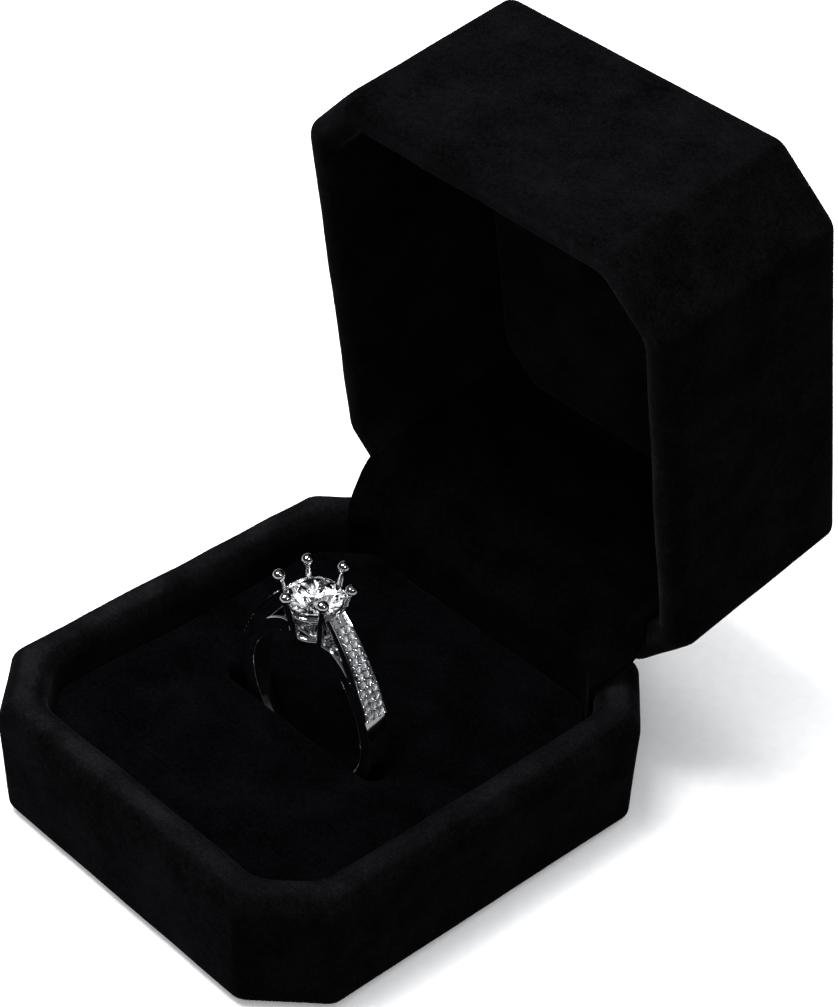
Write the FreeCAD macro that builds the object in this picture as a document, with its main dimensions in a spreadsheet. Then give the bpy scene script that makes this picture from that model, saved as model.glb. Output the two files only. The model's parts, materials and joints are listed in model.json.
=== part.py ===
"""Velvet ring box with a solitaire ring, as a parametric FreeCAD document.

Frame, in millimetres: the origin is the middle of the base's underside, +X runs along the
hinge, +Y points at the hinge and +Z is up. Lid pieces are drawn with the box closed and
are then turned about the hinge pin to the open stop, which is the rest pose.
"""

import FreeCAD, Part
import math
import os
import re
import Sketcher

Vector = FreeCAD.Vector
DOC = FreeCAD.newDocument("ring_box")

# ------------------------------------------------------------------ driving dimensions
DIMS = {
    # outside of the box
    "width": 56.0,
    "depth": 60.2,
    "corner_cut": 7.75,
    "base_height": 15.9,
    "rim_gap": 0.2,
    "lid_height": 26.4,
    "open_angle": 81.0,
    "pivot_inset": 1.5,
    "base_draft": 0.6,
    "lid_draft": 0.3,
    "edge_soft": 1.4,
    "rim_round": 2.4,
    "foot_round": 0.8,
    "crown_round": 1.0,
    # layers of the walls
    "velvet": 0.8,
    "base_wall": 2.0,
    "base_foam": 1.6,
    "base_lip_round": 1.9,
    "lid_wall": 1.6,
    "lid_foam": 0.9,
    "lid_lip_round": 1.4,
    "shell_round": 0.9,
    "floor": 1.4,
    "bottom_sheet": 0.4,
    "turned_under": 0.6,
    "sheet_inset": 1.6,
    "slip": 0.15,
    "base_lip_drop": 1.5,
    "lid_lip_drop": 1.4,
    # how far a cutting shape runs past the material it cuts
    "overrun": 1.0,
    # ring pad
    "card": 0.6,
    "pad_top": 11.7,
    "pad_skirt": 5.5,
    "pad_velvet": 0.6,
    "pad_round": 1.2,
    "pad_rear_ease": 0.45,
    "slit_length": 25.2,
    "slit_width": 3.3,
    "slit_floor": 3.9,
    "slit_lip": 0.7,
    # lid lining
    "top_lining": 1.7,
    "top_lining_gap": 0.9,
    "top_lining_round": 1.0,
    # hinge
    "window_width": 28.4,
    "leaf_width": 26.0,
    "leaf_thick": 0.45,
    "leaf_reach": 10.5,
    "leaf_play": 0.05,
    "knuckle_radius": 0.9,
    "knuckle_gap": 0.1,
    "knuckle_play": 0.15,
    "pin_radius": 0.4,
    "pin_play": 0.05,
    "rivet_radius": 0.8,
    "rivet_head": 1.4,
    "rivet_dome": 0.45,
    "rivet_flat": 0.77,
    "rivet_spread": 7.8,
    "rivet_drop": 6.5,
    "spring_thick": 0.35,
    "spring_width": 20.0,
    "spring_low": 9.8,
    "spring_high": 3.2,
    "finger_width": 3.0,
    "finger_tip": 0.7,
    # hinge flap
    "flap_thick": 0.7,
    "flap_reach": 7.8,
    "flap_low": 3.7,
    "flap_lid_low": 1.7,
    "flap_lid_high": 20.9,
    # ring
    "ring_x": 1.4,
    "ring_y": -2.5,
    "ring_z": 15.3,
    "ring_outer": 10.8,
    "ring_inner": 9.0,
    "band_width": 3.0,
    "band_base": 2.2,
    "band_full_up": 3.6,
    "band_slim_down": 6.0,
    "head_seat": 10.2,
    # shoulders: polar angles from the ring's centre, in degrees, and radii along them
    "shoulder_low": 22.8,
    "shoulder_high": 73.5,
    "shoulder_start": 11.0,
    "shoulder_rise": 3.4,
    "shoulder_thick": 1.6,
    "shoulder_top": 13.8,
    "shoulder_tip": 0.8,
    "shoulder_end": 3.44,
    "shoulder_slim": 2.2,
    "taper_low": 7.0,
    "taper_high": 15.0,
    "stone_radius": 3.25,
    "stone_height": 15.0,
    "crown_rise": 1.05,
    "table_radius": 1.8,
    "girdle": 0.16,
    "pavilion": 2.75,
    "prong_radius": 0.46,
    "prong_foot": 2.64,
    "prong_low": 10.4,
    "prong_flare": 0.237,
    "prong_top": 16.7,
    "bead_radius": 0.7,
    "upper_rail": 2.98,
    "upper_rail_up": 13.85,
    "lower_rail": 2.5,
    "lower_rail_up": 10.65,
    "rail_wire": 0.36,
    # small stones in the shoulders
    "pave_radius": 0.4,
    "pave_table": 0.24,
    "pave_culet": 0.06,
    "pave_rise": 0.14,
    "pave_depth": 0.45,
    "pave_pitch": 0.9,
    "pave_row": 0.86,
    "pave_play": 0.02,
}

sheet = DOC.addObject("Spreadsheet::Sheet", "dims")
for row, (alias, value) in enumerate(DIMS.items(), start=1):
    sheet.set(f"A{row}", alias)
    sheet.set(f"B{row}", str(value))
    sheet.setAlias(f"B{row}", alias)
DOC.recompute()

# counts, and the tolerances used when edges are picked out by place
SHOULDER_STEPS = 8
PAVE_RANKS = 12
PAVE_RANKS_OF_THREE = 4
PRONGS = 6
SAME_PLACE = 0.01
EDGE_BAND = 0.5

ALIAS = re.compile(r"\b(" + "|".join(sorted(DIMS, key=len, reverse=True)) + r")\b")


def ref(text):
    """A size written with plain aliases, as an expression that reads the spreadsheet."""
    return ALIAS.sub(r"dims.\1", text)


def size(text):
    """The present value of such an expression."""
    return float(sheet.evalExpression(ref(text)))


# places that several pieces share, in terms of the driving dimensions
RIM = "base_height"
LID_RIM = "(base_height + rim_gap)"
LID_TOP = "(base_height + rim_gap + lid_height)"
PIVOT_Y = "(depth / 2 - pivot_inset)"
PIVOT_Z = "(base_height + rim_gap / 2)"
SHELL_FOOT = "(bottom_sheet + turned_under)"
FLOOR = "(bottom_sheet + turned_under + floor)"
CEILING = "(base_height + rim_gap + lid_height - velvet - lid_wall)"
BASE_INNER = "(velvet + base_wall + base_foam + velvet)"
LID_INNER = "(velvet + lid_wall + lid_foam + velvet)"
LEAF_Y = "(depth / 2 - pivot_inset - knuckle_radius)"
BASE_RIVET_END = "(depth / 2 - velvet - base_draft - leaf_play)"
LID_RIVET_END = "(depth / 2 - velvet - lid_draft - leaf_play)"


# ------------------------------------------------------------------ building helpers
def body(label):
    new = DOC.addObject("PartDesign::Body", label)
    new.Label = label
    return new


def origin_plane(owner, role):
    return [f for f in owner.Origin.OriginFeatures if f.Role == role][0]


def sketch_on(owner, name, role="XY_Plane", offset="0"):
    """An empty sketch on one of the body's own origin planes, moved along its normal."""
    new = owner.newObject("Sketcher::SketchObject", name)
    new.AttachmentSupport = (origin_plane(owner, role), [""])
    new.MapMode = "FlatFace"
    new.setExpression("AttachmentOffset.Base.z", ref(offset))
    return new


def polygon(owner, name, points, role="XY_Plane", offset="0"):
    """A closed outline. Each corner is a pair of size expressions."""
    new = sketch_on(owner, name, role, offset)
    corners = [Vector(size(x), size(y), 0) for x, y in points]
    count = len(corners)
    for i in range(count):
        new.addGeometry(Part.LineSegment(corners[i], corners[(i + 1) % count]), False)
    for i in range(count):
        new.addConstraint(Sketcher.Constraint("Coincident", i, 2, (i + 1) % count, 1))
    for i, (x, y) in enumerate(points):
        for axis, text, value in (("DistanceX", x, corners[i].x), ("DistanceY", y, corners[i].y)):
            index = new.addConstraint(Sketcher.Constraint(axis, -1, 1, i, 1, value))
            new.setExpression(f"Constraints[{index}]", ref(text))
    return new


def circle(owner, name, x, y, radius, role="XY_Plane", offset="0"):
    new = sketch_on(owner, name, role, offset)
    centre = Vector(size(x), size(y), 0)
    new.addGeometry(Part.Circle(centre, Vector(0, 0, 1), size(radius)), False)
    for kind, text in (("DistanceX", x), ("DistanceY", y)):
        index = new.addConstraint(Sketcher.Constraint(kind, -1, 1, 0, 3, size(text)))
        new.setExpression(f"Constraints[{index}]", ref(text))
    index = new.addConstraint(Sketcher.Constraint("Radius", 0, size(radius)))
    new.setExpression(f"Constraints[{index}]", ref(radius))
    return new


def octagon(owner, name, inset, offset, rear_inset=None, rear_cut=None):
    """The box's plan, moved inwards by inset: a rectangle with its four corners cut off."""
    half = f"(width / 2 - ({inset}))"
    front = f"(depth / 2 - ({inset}))"
    cut = f"(corner_cut - ({inset}) * (2 - sqrt(2)))"
    rear = front if rear_inset is None else f"(depth / 2 - ({rear_inset}))"
    back_cut = cut if rear_cut is None else rear_cut
    points = [
        (f"{half} - {cut}", f"-{front}"),
        (half, f"-{front} + {cut}"),
        (half, f"{rear} - {back_cut}"),
        (f"{half} - {back_cut}", rear),
        (f"-{half} + {back_cut}", rear),
        (f"-{half}", f"{rear} - {back_cut}"),
        (f"-{half}", f"-{front} + {cut}"),
        (f"-{half} + {cut}", f"-{front}"),
    ]
    return polygon(owner, name, points, "XY_Plane", offset)


def rectangle(owner, name, x0, x1, y0, y1, role="XY_Plane", offset="0"):
    return polygon(owner, name, [(x0, y0), (x1, y0), (x1, y1), (x0, y1)], role, offset)


def pad(owner, profile, length, both_sides=False, reverse=False):
    new = owner.newObject("PartDesign::Pad", profile.Name + "_pad")
    new.Profile = profile
    new.SideType = "Symmetric" if both_sides else "One side"
    new.Reversed = reverse
    new.setExpression("Length", ref(length))
    profile.Visibility = False
    return new


def pocket(owner, profile, length, both_sides=False, reverse=False):
    """Cuts against the sketch's normal, or along it when reversed, and must remove something."""
    DOC.recompute()
    before = owner.Shape.Volume
    new = owner.newObject("PartDesign::Pocket", profile.Name + "_pocket")
    new.Profile = profile
    new.SideType = "Symmetric" if both_sides else "One side"
    new.Reversed = reverse
    new.setExpression("Length", ref(length))
    DOC.recompute()
    if not owner.Shape.Volume < before:
        raise RuntimeError(f"{new.Name} cut nothing")
    return new


def drafted_block(owner, name, inset, low, high, draft, full_at_top):
    """A block on the box's plan whose sides lean in by draft at its narrow end."""
    block = pad(owner, octagon(owner, name, inset, low), f"{high} - {low}")
    DOC.recompute()
    full_end = size(high if full_at_top else low)
    numbered = list(enumerate(block.Shape.Faces, start=1))
    sides = [f"Face{i}" for i, face in numbered if face.BoundBox.ZLength > EDGE_BAND]
    flat = [(i, face) for i, face in numbered if face.BoundBox.ZLength < SAME_PLACE]
    still = [f"Face{i}" for i, face in flat if abs(face.BoundBox.ZMin - full_end) < SAME_PLACE]
    new = owner.newObject("PartDesign::Draft", f"{name}_draft")
    new.Base = (block, sides)
    new.NeutralPlane = (block, still)
    new.Reversed = full_at_top
    new.setExpression("Angle", ref(f"atan({draft} / ({high} - {low}))"))
    DOC.recompute()
    return new


def fillet(owner, radius, wanted):
    """Rounds the edges of the body's latest shape for which wanted(edge) is true."""
    DOC.recompute()
    tip = owner.Tip
    names = [f"Edge{i}" for i, edge in enumerate(tip.Shape.Edges, start=1) if wanted(edge)]
    if not names:
        raise RuntimeError(f"{owner.Label}: no edge to round")
    new = owner.newObject("PartDesign::Fillet", f"{owner.Name}_fillet")
    new.Base = (tip, names)
    new.setExpression("Radius", ref(radius))
    DOC.recompute()
    return new


def pattern(owner, originals, direction_role, length, count):
    """Repeats features in a row along one of the body's own origin axes."""
    new = owner.newObject("PartDesign::LinearPattern", f"{owner.Name}_row")
    new.Originals = originals
    axis = [f for f in owner.Origin.OriginFeatures if f.Role == direction_role][0]
    new.Direction = (axis, [""])
    new.setExpression("Length", ref(length))
    new.Occurrences = count
    owner.Tip = new
    return new


def cut(label, base, tool):
    new = DOC.addObject("Part::Cut", label)
    new.Label = label
    new.Base = base
    new.Tool = tool
    return new


def solid_feature(label, shape):
    """A piece made with Part's own functions; its Placement is set after its Shape."""
    new = DOC.addObject("Part::Feature", label)
    new.Label = label
    new.Shape = shape
    new.Placement = FreeCAD.Placement()
    return new


def open_with_lid(piece):
    """Turns a piece drawn with the box closed about the hinge pin, to the open stop."""
    piece.Placement = FreeCAD.Placement(Vector(), FreeCAD.Rotation(Vector(-1, 0, 0), 1))
    piece.setExpression("Placement.Rotation.Angle", ref("open_angle"))
    turned_y = f"{PIVOT_Y} * cos(open_angle) + {PIVOT_Z} * sin(open_angle)"
    turned_z = f"{PIVOT_Z} * cos(open_angle) - {PIVOT_Y} * sin(open_angle)"
    piece.setExpression("Placement.Base.y", ref(f"{PIVOT_Y} - ({turned_y})"))
    piece.setExpression("Placement.Base.z", ref(f"{PIVOT_Z} - ({turned_z})"))
    return piece


def place_on_ring(piece, height="0"):
    piece.setExpression("Placement.Base.x", ref("ring_x"))
    piece.setExpression("Placement.Base.y", ref("ring_y"))
    piece.setExpression("Placement.Base.z", ref(f"ring_z + {height}"))
    return piece


def upright(edge):
    """True for the long corner edges that run from foot to rim, which lean in by the draft."""
    box = edge.BoundBox
    return box.ZLength > 5 * max(box.XLength, box.YLength)


def level_at(height_text, inset_low, inset_high):
    """A test for edges at one height whose distance from the outside is between two insets."""
    height = size(height_text)
    half_width = size("width / 2")
    half_depth = size("depth / 2")
    reach = size("(width + depth) / 2 - corner_cut")

    def wanted(edge):
        box = edge.BoundBox
        if abs(box.ZMin - height) > SAME_PLACE or abs(box.ZMax - height) > SAME_PLACE:
            return False
        middle = edge.valueAt((edge.FirstParameter + edge.LastParameter) / 2)
        inset = min(
            half_width - abs(middle.x),
            half_depth - abs(middle.y),
            (reach - abs(middle.x) - abs(middle.y)) / math.sqrt(2),
        )
        return inset_low - SAME_PLACE <= inset <= inset_high + SAME_PLACE

    return wanted


# ------------------------------------------------------------------ base half
def make_base_shell():
    """Moulded tray: drafted walls, flat floor, a recess in the rear wall for the hinge leaf."""
    new = body("base_shell")
    drafted_block(new, "base_shell_block", "velvet", SHELL_FOOT, f"({RIM} - velvet)", "base_draft", True)
    fillet(new, "shell_round", upright)
    fillet(new, "shell_round", level_at(f"{RIM} - velvet", 0, size("velvet") + EDGE_BAND))
    hollow = octagon(new, "base_shell_hollow", "velvet + base_wall", f"{RIM} - velvet")
    pocket(new, hollow, f"{RIM} - velvet - {FLOOR}")
    recess = rectangle(
        new, "base_shell_recess",
        "-leaf_width / 2 - slip", "leaf_width / 2 + slip",
        "depth / 2 - velvet - base_wall - overrun", f"{LEAF_Y} + leaf_thick + leaf_play",
        offset=f"{RIM}",
    )
    pocket(new, recess, f"{RIM} - ({PIVOT_Z} - leaf_reach - slip)")
    relief = rectangle(
        new, "base_shell_relief",
        "-leaf_width / 2 - slip", "leaf_width / 2 + slip",
        "depth / 2 - velvet - base_wall - overrun", "depth / 2",
        offset=f"{RIM}",
    )
    pocket(new, relief, f"{RIM} - ({PIVOT_Z} - knuckle_radius - 2 * knuckle_play)")
    for side in (-1, 1):
        bore = circle(
            new, f"base_shell_bore_{'left' if side < 0 else 'right'}",
            f"{side} * rivet_spread", f"{PIVOT_Z} - rivet_drop", "rivet_radius",
            role="XZ_Plane", offset="-depth / 2 + velvet + base_wall + overrun",
        )
        pocket(new, bore, "base_wall + 2 * overrun")
    return new


def make_wall_foam(label, inset, thick, low, high):
    """Foam strip inside a shell's walls, open at the rear where the hinge sits."""
    new = body(label)
    outside = octagon(new, f"{label}_outside", inset, low)
    pad(new, outside, f"{high} - {low}")
    inside = octagon(new, f"{label}_inside", f"{inset} + {thick}", low)
    pocket(new, inside, f"{high} - {low}", reverse=True)
    window = rectangle(
        new, f"{label}_window",
        "-window_width / 2", "window_width / 2", "depth / 4", "depth / 2",
        offset=low,
    )
    pocket(new, window, f"{high} - {low}", reverse=True)
    return new


def make_base_velvet_cover(shell, foam):
    """Velvet skin: outside, over the thick rim, down the inside and turned under the foot."""
    blank = body("base_cover_blank")
    drafted_block(blank, "base_cover_block", "0", "bottom_sheet", RIM, "base_draft", True)
    fillet(blank, "edge_soft", upright)
    fillet(blank, "rim_round", level_at(RIM, 0, EDGE_BAND))
    fillet(blank, "foot_round", level_at("bottom_sheet", 0, size("base_draft") + EDGE_BAND))
    hollow = octagon(blank, "base_cover_hollow", BASE_INNER, RIM)
    pocket(blank, hollow, RIM)
    inner = size(BASE_INNER)
    fillet(blank, "base_lip_round", level_at(RIM, inner, inner))
    window = rectangle(
        blank, "base_cover_window",
        "-window_width / 2", "window_width / 2", "depth / 4", "depth",
        offset=RIM,
    )
    pocket(blank, window, f"{RIM} - ({PIVOT_Z} - knuckle_radius - 2 * knuckle_play)")
    inside = rectangle(
        blank, "base_cover_inside",
        "-window_width / 2", "window_width / 2", "depth / 4", BASE_RIVET_END,
        offset=RIM,
    )
    pocket(blank, inside, f"{RIM} - bottom_sheet - turned_under")
    return cut("base_velvet_cover", cut("base_cover_round_shell", blank, shell), foam)


def make_base_bottom_sheet():
    new = body("base_bottom_sheet")
    plan = octagon(new, "base_bottom_sheet_plan", "base_draft + sheet_inset", "0")
    pad(new, plan, "bottom_sheet")
    return new


# ------------------------------------------------------------------ ring pad
PAD_INSET = f"({BASE_INNER} + slip)"
PAD_REAR = f"({BASE_INNER} + 2 * slip + flap_thick + slip)"
PAD_REAR_CUT = f"(corner_cut - {PAD_INSET} * (2 - sqrt(2)) + pad_rear_ease)"


def pad_plan(owner, name, extra, offset):
    """Plan of the ring pad, which stops short of the rear wall to leave room for the flap."""
    return octagon(
        owner, name, f"{PAD_INSET} + {extra}", offset,
        rear_inset=f"{PAD_REAR} + {extra}",
        rear_cut=f"({PAD_REAR_CUT} - ({extra}) * (2 - sqrt(2)))",
    )


def slit_plan(owner, name, margin, offset):
    """The slit's plan: a long slot with round ends."""
    new = sketch_on(owner, name, "XY_Plane", offset)
    half = size(f"(slit_width + 2 * ({margin})) / 2")
    reach = size("slit_length / 2 - slit_width / 2")
    line = size("ring_y")
    new.addGeometry(Part.LineSegment(Vector(-reach, line - half, 0), Vector(reach, line - half, 0)))
    new.addGeometry(Part.LineSegment(Vector(reach, line + half, 0), Vector(-reach, line + half, 0)))
    for x, start in ((reach, -math.pi / 2), (-reach, math.pi / 2)):
        end_circle = Part.Circle(Vector(x, line, 0), Vector(0, 0, 1), half)
        new.addGeometry(Part.ArcOfCircle(end_circle, start, start + math.pi))
    for first, first_end, second, second_end in ((0, 2, 2, 1), (2, 2, 1, 1), (1, 2, 3, 1), (3, 2, 0, 1)):
        new.addConstraint(Sketcher.Constraint("Tangent", first, first_end, second, second_end))
    for kind, arc, text in (
        ("DistanceX", 2, "slit_length / 2 - slit_width / 2"),
        ("DistanceY", 2, "ring_y"),
        ("DistanceX", 3, "-slit_length / 2 + slit_width / 2"),
        ("DistanceY", 3, "ring_y"),
    ):
        index = new.addConstraint(Sketcher.Constraint(kind, -1, 1, arc, 3, size(text)))
        new.setExpression(f"Constraints[{index}]", ref(text))
    index = new.addConstraint(Sketcher.Constraint("Radius", 2, half))
    new.setExpression(f"Constraints[{index}]", ref(f"(slit_width + 2 * ({margin})) / 2"))
    return new


def make_pad_card():
    new = body("pad_card")
    pad(new, pad_plan(new, "pad_card_plan", "pad_velvet", FLOOR), "card")
    return new


def make_ring_pad_foam():
    """Foam block with the slit cut from above, wide enough for its velvet lining."""
    new = body("ring_pad_foam")
    low = f"({FLOOR} + card)"
    pad(new, pad_plan(new, "ring_pad_foam_plan", "pad_velvet", low), f"pad_top - pad_velvet - {low}")
    slit = slit_plan(new, "ring_pad_foam_slit", "pad_velvet", "pad_top - pad_velvet")
    pocket(new, slit, "pad_top - pad_velvet - slit_floor")
    return new


def make_ring_pad_cover(foam):
    """Velvet over the foam, down its sides and into the slit, with rolled lips."""
    blank = body("ring_pad_cover_blank")
    pad(blank, pad_plan(blank, "ring_pad_cover_plan", "0", "pad_skirt"), "pad_top - pad_skirt")
    fillet(blank, "pad_round", level_at("pad_top", 0, size(PAD_REAR)))
    slit = slit_plan(blank, "ring_pad_cover_slit", "0", "pad_top")
    pocket(blank, slit, "pad_top - pad_skirt")
    top = size("pad_top")
    near = size("slit_width")
    line = size("ring_y")
    reach = size("slit_length")

    def slit_lip(edge):
        box = edge.BoundBox
        level = abs(box.ZMin - top) < SAME_PLACE and abs(box.ZMax - top) < SAME_PLACE
        return level and abs(box.Center.y - line) < near and box.XLength < reach and box.YLength < near + 1

    fillet(blank, "slit_lip", slit_lip)
    return cut("ring_pad_cover", blank, foam)


# ------------------------------------------------------------------ lid half
def make_lid_shell():
    new = body("lid_shell")
    low = f"({LID_RIM} + velvet)"
    drafted_block(new, "lid_shell_block", "velvet", low, f"({LID_TOP} - velvet)", "lid_draft", False)
    fillet(new, "shell_round", upright)
    fillet(new, "shell_round", level_at(f"{LID_RIM} + velvet", 0, size("velvet") + EDGE_BAND))
    fillet(new, "shell_round", level_at(f"{LID_TOP} - velvet", 0, size("velvet + lid_draft") + EDGE_BAND))
    hollow = octagon(new, "lid_shell_hollow", "velvet + lid_wall", f"{LID_RIM} + velvet")
    pocket(new, hollow, f"{CEILING} - {LID_RIM} - velvet", reverse=True)
    recess = rectangle(
        new, "lid_shell_recess",
        "-leaf_width / 2 - slip", "leaf_width / 2 + slip",
        "depth / 2 - velvet - lid_wall - overrun", f"{LEAF_Y} + leaf_thick + leaf_play",
        offset=LID_RIM,
    )
    pocket(new, recess, f"{PIVOT_Z} + leaf_reach + slip - {LID_RIM}", reverse=True)
    relief = rectangle(
        new, "lid_shell_relief",
        "-leaf_width / 2 - slip", "leaf_width / 2 + slip",
        "depth / 2 - velvet - lid_wall - overrun", "depth / 2",
        offset=LID_RIM,
    )
    pocket(new, relief, f"{PIVOT_Z} + knuckle_radius + 2 * knuckle_play - {LID_RIM}", reverse=True)
    for side in (-1, 1):
        bore = circle(
            new, f"lid_shell_bore_{'left' if side < 0 else 'right'}",
            f"{side} * rivet_spread", f"{PIVOT_Z} + rivet_drop", "rivet_radius",
            role="XZ_Plane", offset="-depth / 2 + velvet + lid_wall + overrun",
        )
        pocket(new, bore, "lid_wall + 2 * overrun")
    return open_with_lid(new)


def make_lid_velvet_cover(shell, foam):
    """Velvet skin of the lid: outside, over the rim and up the inner walls."""
    blank = body("lid_cover_blank")
    drafted_block(blank, "lid_cover_block", "0", LID_RIM, LID_TOP, "lid_draft", False)
    fillet(blank, "edge_soft", upright)
    fillet(blank, "rim_round", level_at(LID_RIM, 0, EDGE_BAND))
    fillet(blank, "crown_round", level_at(LID_TOP, 0, size("lid_draft") + EDGE_BAND))
    hollow = octagon(blank, "lid_cover_hollow", LID_INNER, LID_RIM)
    pocket(blank, hollow, f"{CEILING} - {LID_RIM}", reverse=True)
    inner = size(LID_INNER)
    fillet(blank, "lid_lip_round", level_at(LID_RIM, inner, inner))
    window = rectangle(
        blank, "lid_cover_window",
        "-window_width / 2", "window_width / 2", "depth / 4", "depth",
        offset=LID_RIM,
    )
    pocket(blank, window, f"{PIVOT_Z} + knuckle_radius + 2 * knuckle_play - {LID_RIM}", reverse=True)
    inside = rectangle(
        blank, "lid_cover_inside",
        "-window_width / 2", "window_width / 2", "depth / 4", LID_RIVET_END,
        offset=LID_RIM,
    )
    pocket(blank, inside, f"{CEILING} - {LID_RIM}", reverse=True)
    open_with_lid(blank)
    return cut("lid_velvet_cover", cut("lid_cover_round_shell", blank, shell), foam)


def make_lid_top_lining():
    """Padded card in the lid's ceiling, rounded towards the ring."""
    new = body("lid_top_lining")
    low = f"({CEILING} - slip - top_lining)"
    plan = octagon(new, "lid_top_lining_plan", f"{LID_INNER} + top_lining_gap", low)
    pad(new, plan, "top_lining")
    inner = size(f"{LID_INNER} + top_lining_gap")
    fillet(new, "top_lining_round", level_at(low, inner, inner))
    return open_with_lid(new)


# ------------------------------------------------------------------ hinge
def make_leaf(label, up, knuckle_count):
    """Steel hinge leaf: a plate with rivet holes whose knuckles wrap the pin."""
    new = body(label)
    knuckle = "(leaf_width / 5)"
    near = f"{PIVOT_Z} + {up} * (knuckle_radius + knuckle_play)"
    far = f"{PIVOT_Z} + {up} * leaf_reach"
    plate = rectangle(
        new, f"{label}_plate",
        LEAF_Y, f"{LEAF_Y} + leaf_thick",
        near if up > 0 else far, far if up > 0 else near,
        role="YZ_Plane",
    )
    pad(new, plate, "leaf_width", both_sides=True)
    first = f"-({knuckle_count} - 1) * {knuckle}"
    length = f"{knuckle} - knuckle_gap"
    barrel = circle(new, f"{label}_barrel", PIVOT_Y, PIVOT_Z, "knuckle_radius", "YZ_Plane", first)
    barrel_pad = pad(new, barrel, length, both_sides=True)
    web = rectangle(
        new, f"{label}_web",
        LEAF_Y, f"{LEAF_Y} + leaf_thick",
        PIVOT_Z if up > 0 else near, near if up > 0 else PIVOT_Z,
        role="YZ_Plane", offset=first,
    )
    web_pad = pad(new, web, length, both_sides=True)
    pattern(new, [barrel_pad, web_pad], "X_Axis", f"2 * {knuckle} * ({knuckle_count} - 1)", knuckle_count)
    bore_radius = "pin_radius + pin_play" if up > 0 else "pin_radius"
    bore = circle(new, f"{label}_bore", PIVOT_Y, PIVOT_Z, bore_radius, "YZ_Plane")
    pocket(new, bore, "leaf_width + 2 * overrun", both_sides=True)
    for side in (-1, 1):
        hole = circle(
            new, f"{label}_hole_{'left' if side < 0 else 'right'}",
            f"{side} * rivet_spread", f"{PIVOT_Z} + {up} * rivet_drop", "rivet_radius",
            role="XZ_Plane", offset=f"-({LEAF_Y}) + overrun",
        )
        pocket(new, hole, "leaf_thick + 2 * overrun")
    return new


def make_hinge_pin():
    new = body("hinge_pin")
    section = circle(new, "hinge_pin_section", PIVOT_Y, PIVOT_Z, "pin_radius", "YZ_Plane")
    pad(new, section, "leaf_width - knuckle_gap", both_sides=True)
    return new


def make_hinge_spring():
    """Flat spring held by the base rivets; two fingers bear on the lid leaf's knuckles."""
    new = body("hinge_spring")
    low = f"{PIVOT_Z} - spring_low"
    shoulder = f"{PIVOT_Z} - spring_high"
    tip = f"{PIVOT_Z} + finger_tip"
    knuckle = "leaf_width / 5"
    outer = f"{knuckle} + finger_width / 2"
    inner = f"{knuckle} - finger_width / 2"
    right = [
        ("spring_width / 2", low),
        ("spring_width / 2", shoulder),
        (outer, shoulder),
        (outer, tip),
        (inner, tip),
        (inner, shoulder),
    ]
    left = [(f"-({x})", z) for x, z in reversed(right)]
    outline = polygon(
        new, "hinge_spring_outline", right + left,
        role="XZ_Plane", offset=f"-({LEAF_Y}) + leaf_play",
    )
    pad(new, outline, "spring_thick")
    for side in (-1, 1):
        hole = circle(
            new, f"hinge_spring_hole_{'left' if side < 0 else 'right'}",
            f"{side} * rivet_spread", f"{PIVOT_Z} - rivet_drop", "rivet_radius",
            role="XZ_Plane", offset=f"-({LEAF_Y}) + overrun",
        )
        pocket(new, hole, "leaf_thick + 2 * overrun")
    return new


def make_rivets(label, up, stack, end):
    """Two rivets that clamp the hinge stack to the shell's rear wall, domed on the inside."""
    links = []
    head_y = f"({LEAF_Y} - {stack})"
    for side, word in ((-1, "left"), (1, "right")):
        shank = DOC.addObject("Part::Cylinder", f"{label}_{word}_shank")
        shank.setExpression("Radius", ref("rivet_radius"))
        shank.setExpression("Height", ref(f"{end} - {head_y}"))
        dome = DOC.addObject("Part::Cone", f"{label}_{word}_dome")
        dome.setExpression("Radius1", ref("rivet_flat"))
        dome.setExpression("Radius2", ref("rivet_head"))
        dome.setExpression("Height", ref("rivet_dome"))
        for part, start in ((shank, head_y), (dome, f"{head_y} - rivet_dome")):
            part.Placement = FreeCAD.Placement(Vector(), FreeCAD.Rotation(Vector(1, 0, 0), -90))
            part.setExpression("Placement.Base.x", ref(f"{side} * rivet_spread"))
            part.setExpression("Placement.Base.y", ref(start))
            part.setExpression("Placement.Base.z", ref(f"{PIVOT_Z} + {up} * rivet_drop"))
        rivet = DOC.addObject("Part::Fuse", f"{label}_{word}")
        rivet.Base = shank
        rivet.Tool = dome
        links.append(rivet)
    new = DOC.addObject("Part::Compound", label)
    new.Label = label
    new.Links = links
    return new


def make_flap(label, outer, low, high):
    """One half of the velvet flap: a strip that follows the rear wall and its cut corners."""
    new = body(label)
    plan = octagon(new, f"{label}_outside", outer, low)
    pad(new, plan, f"{high} - ({low})")
    inside = octagon(new, f"{label}_inside", f"{outer} + flap_thick", low)
    pocket(new, inside, f"{high} - ({low})", reverse=True)
    front = rectangle(
        new, f"{label}_front", "-width", "width", "-depth", "depth / 2 - flap_reach", offset=low
    )
    pocket(new, front, f"{high} - ({low})", reverse=True)
    return new


# ------------------------------------------------------------------ ring
def shoulder_edge():
    """Outside of the right-hand shoulder, seen from the front: from the band up to the head."""
    points = []
    for step in range(SHOULDER_STEPS + 1):
        share = f"{step} / {SHOULDER_STEPS}"
        angle = f"(shoulder_low + (shoulder_high - shoulder_low) * {share})"
        radius = f"(shoulder_start + shoulder_rise * ({share}) ^ 2)"
        points.append((radius, angle))
    return points


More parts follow.
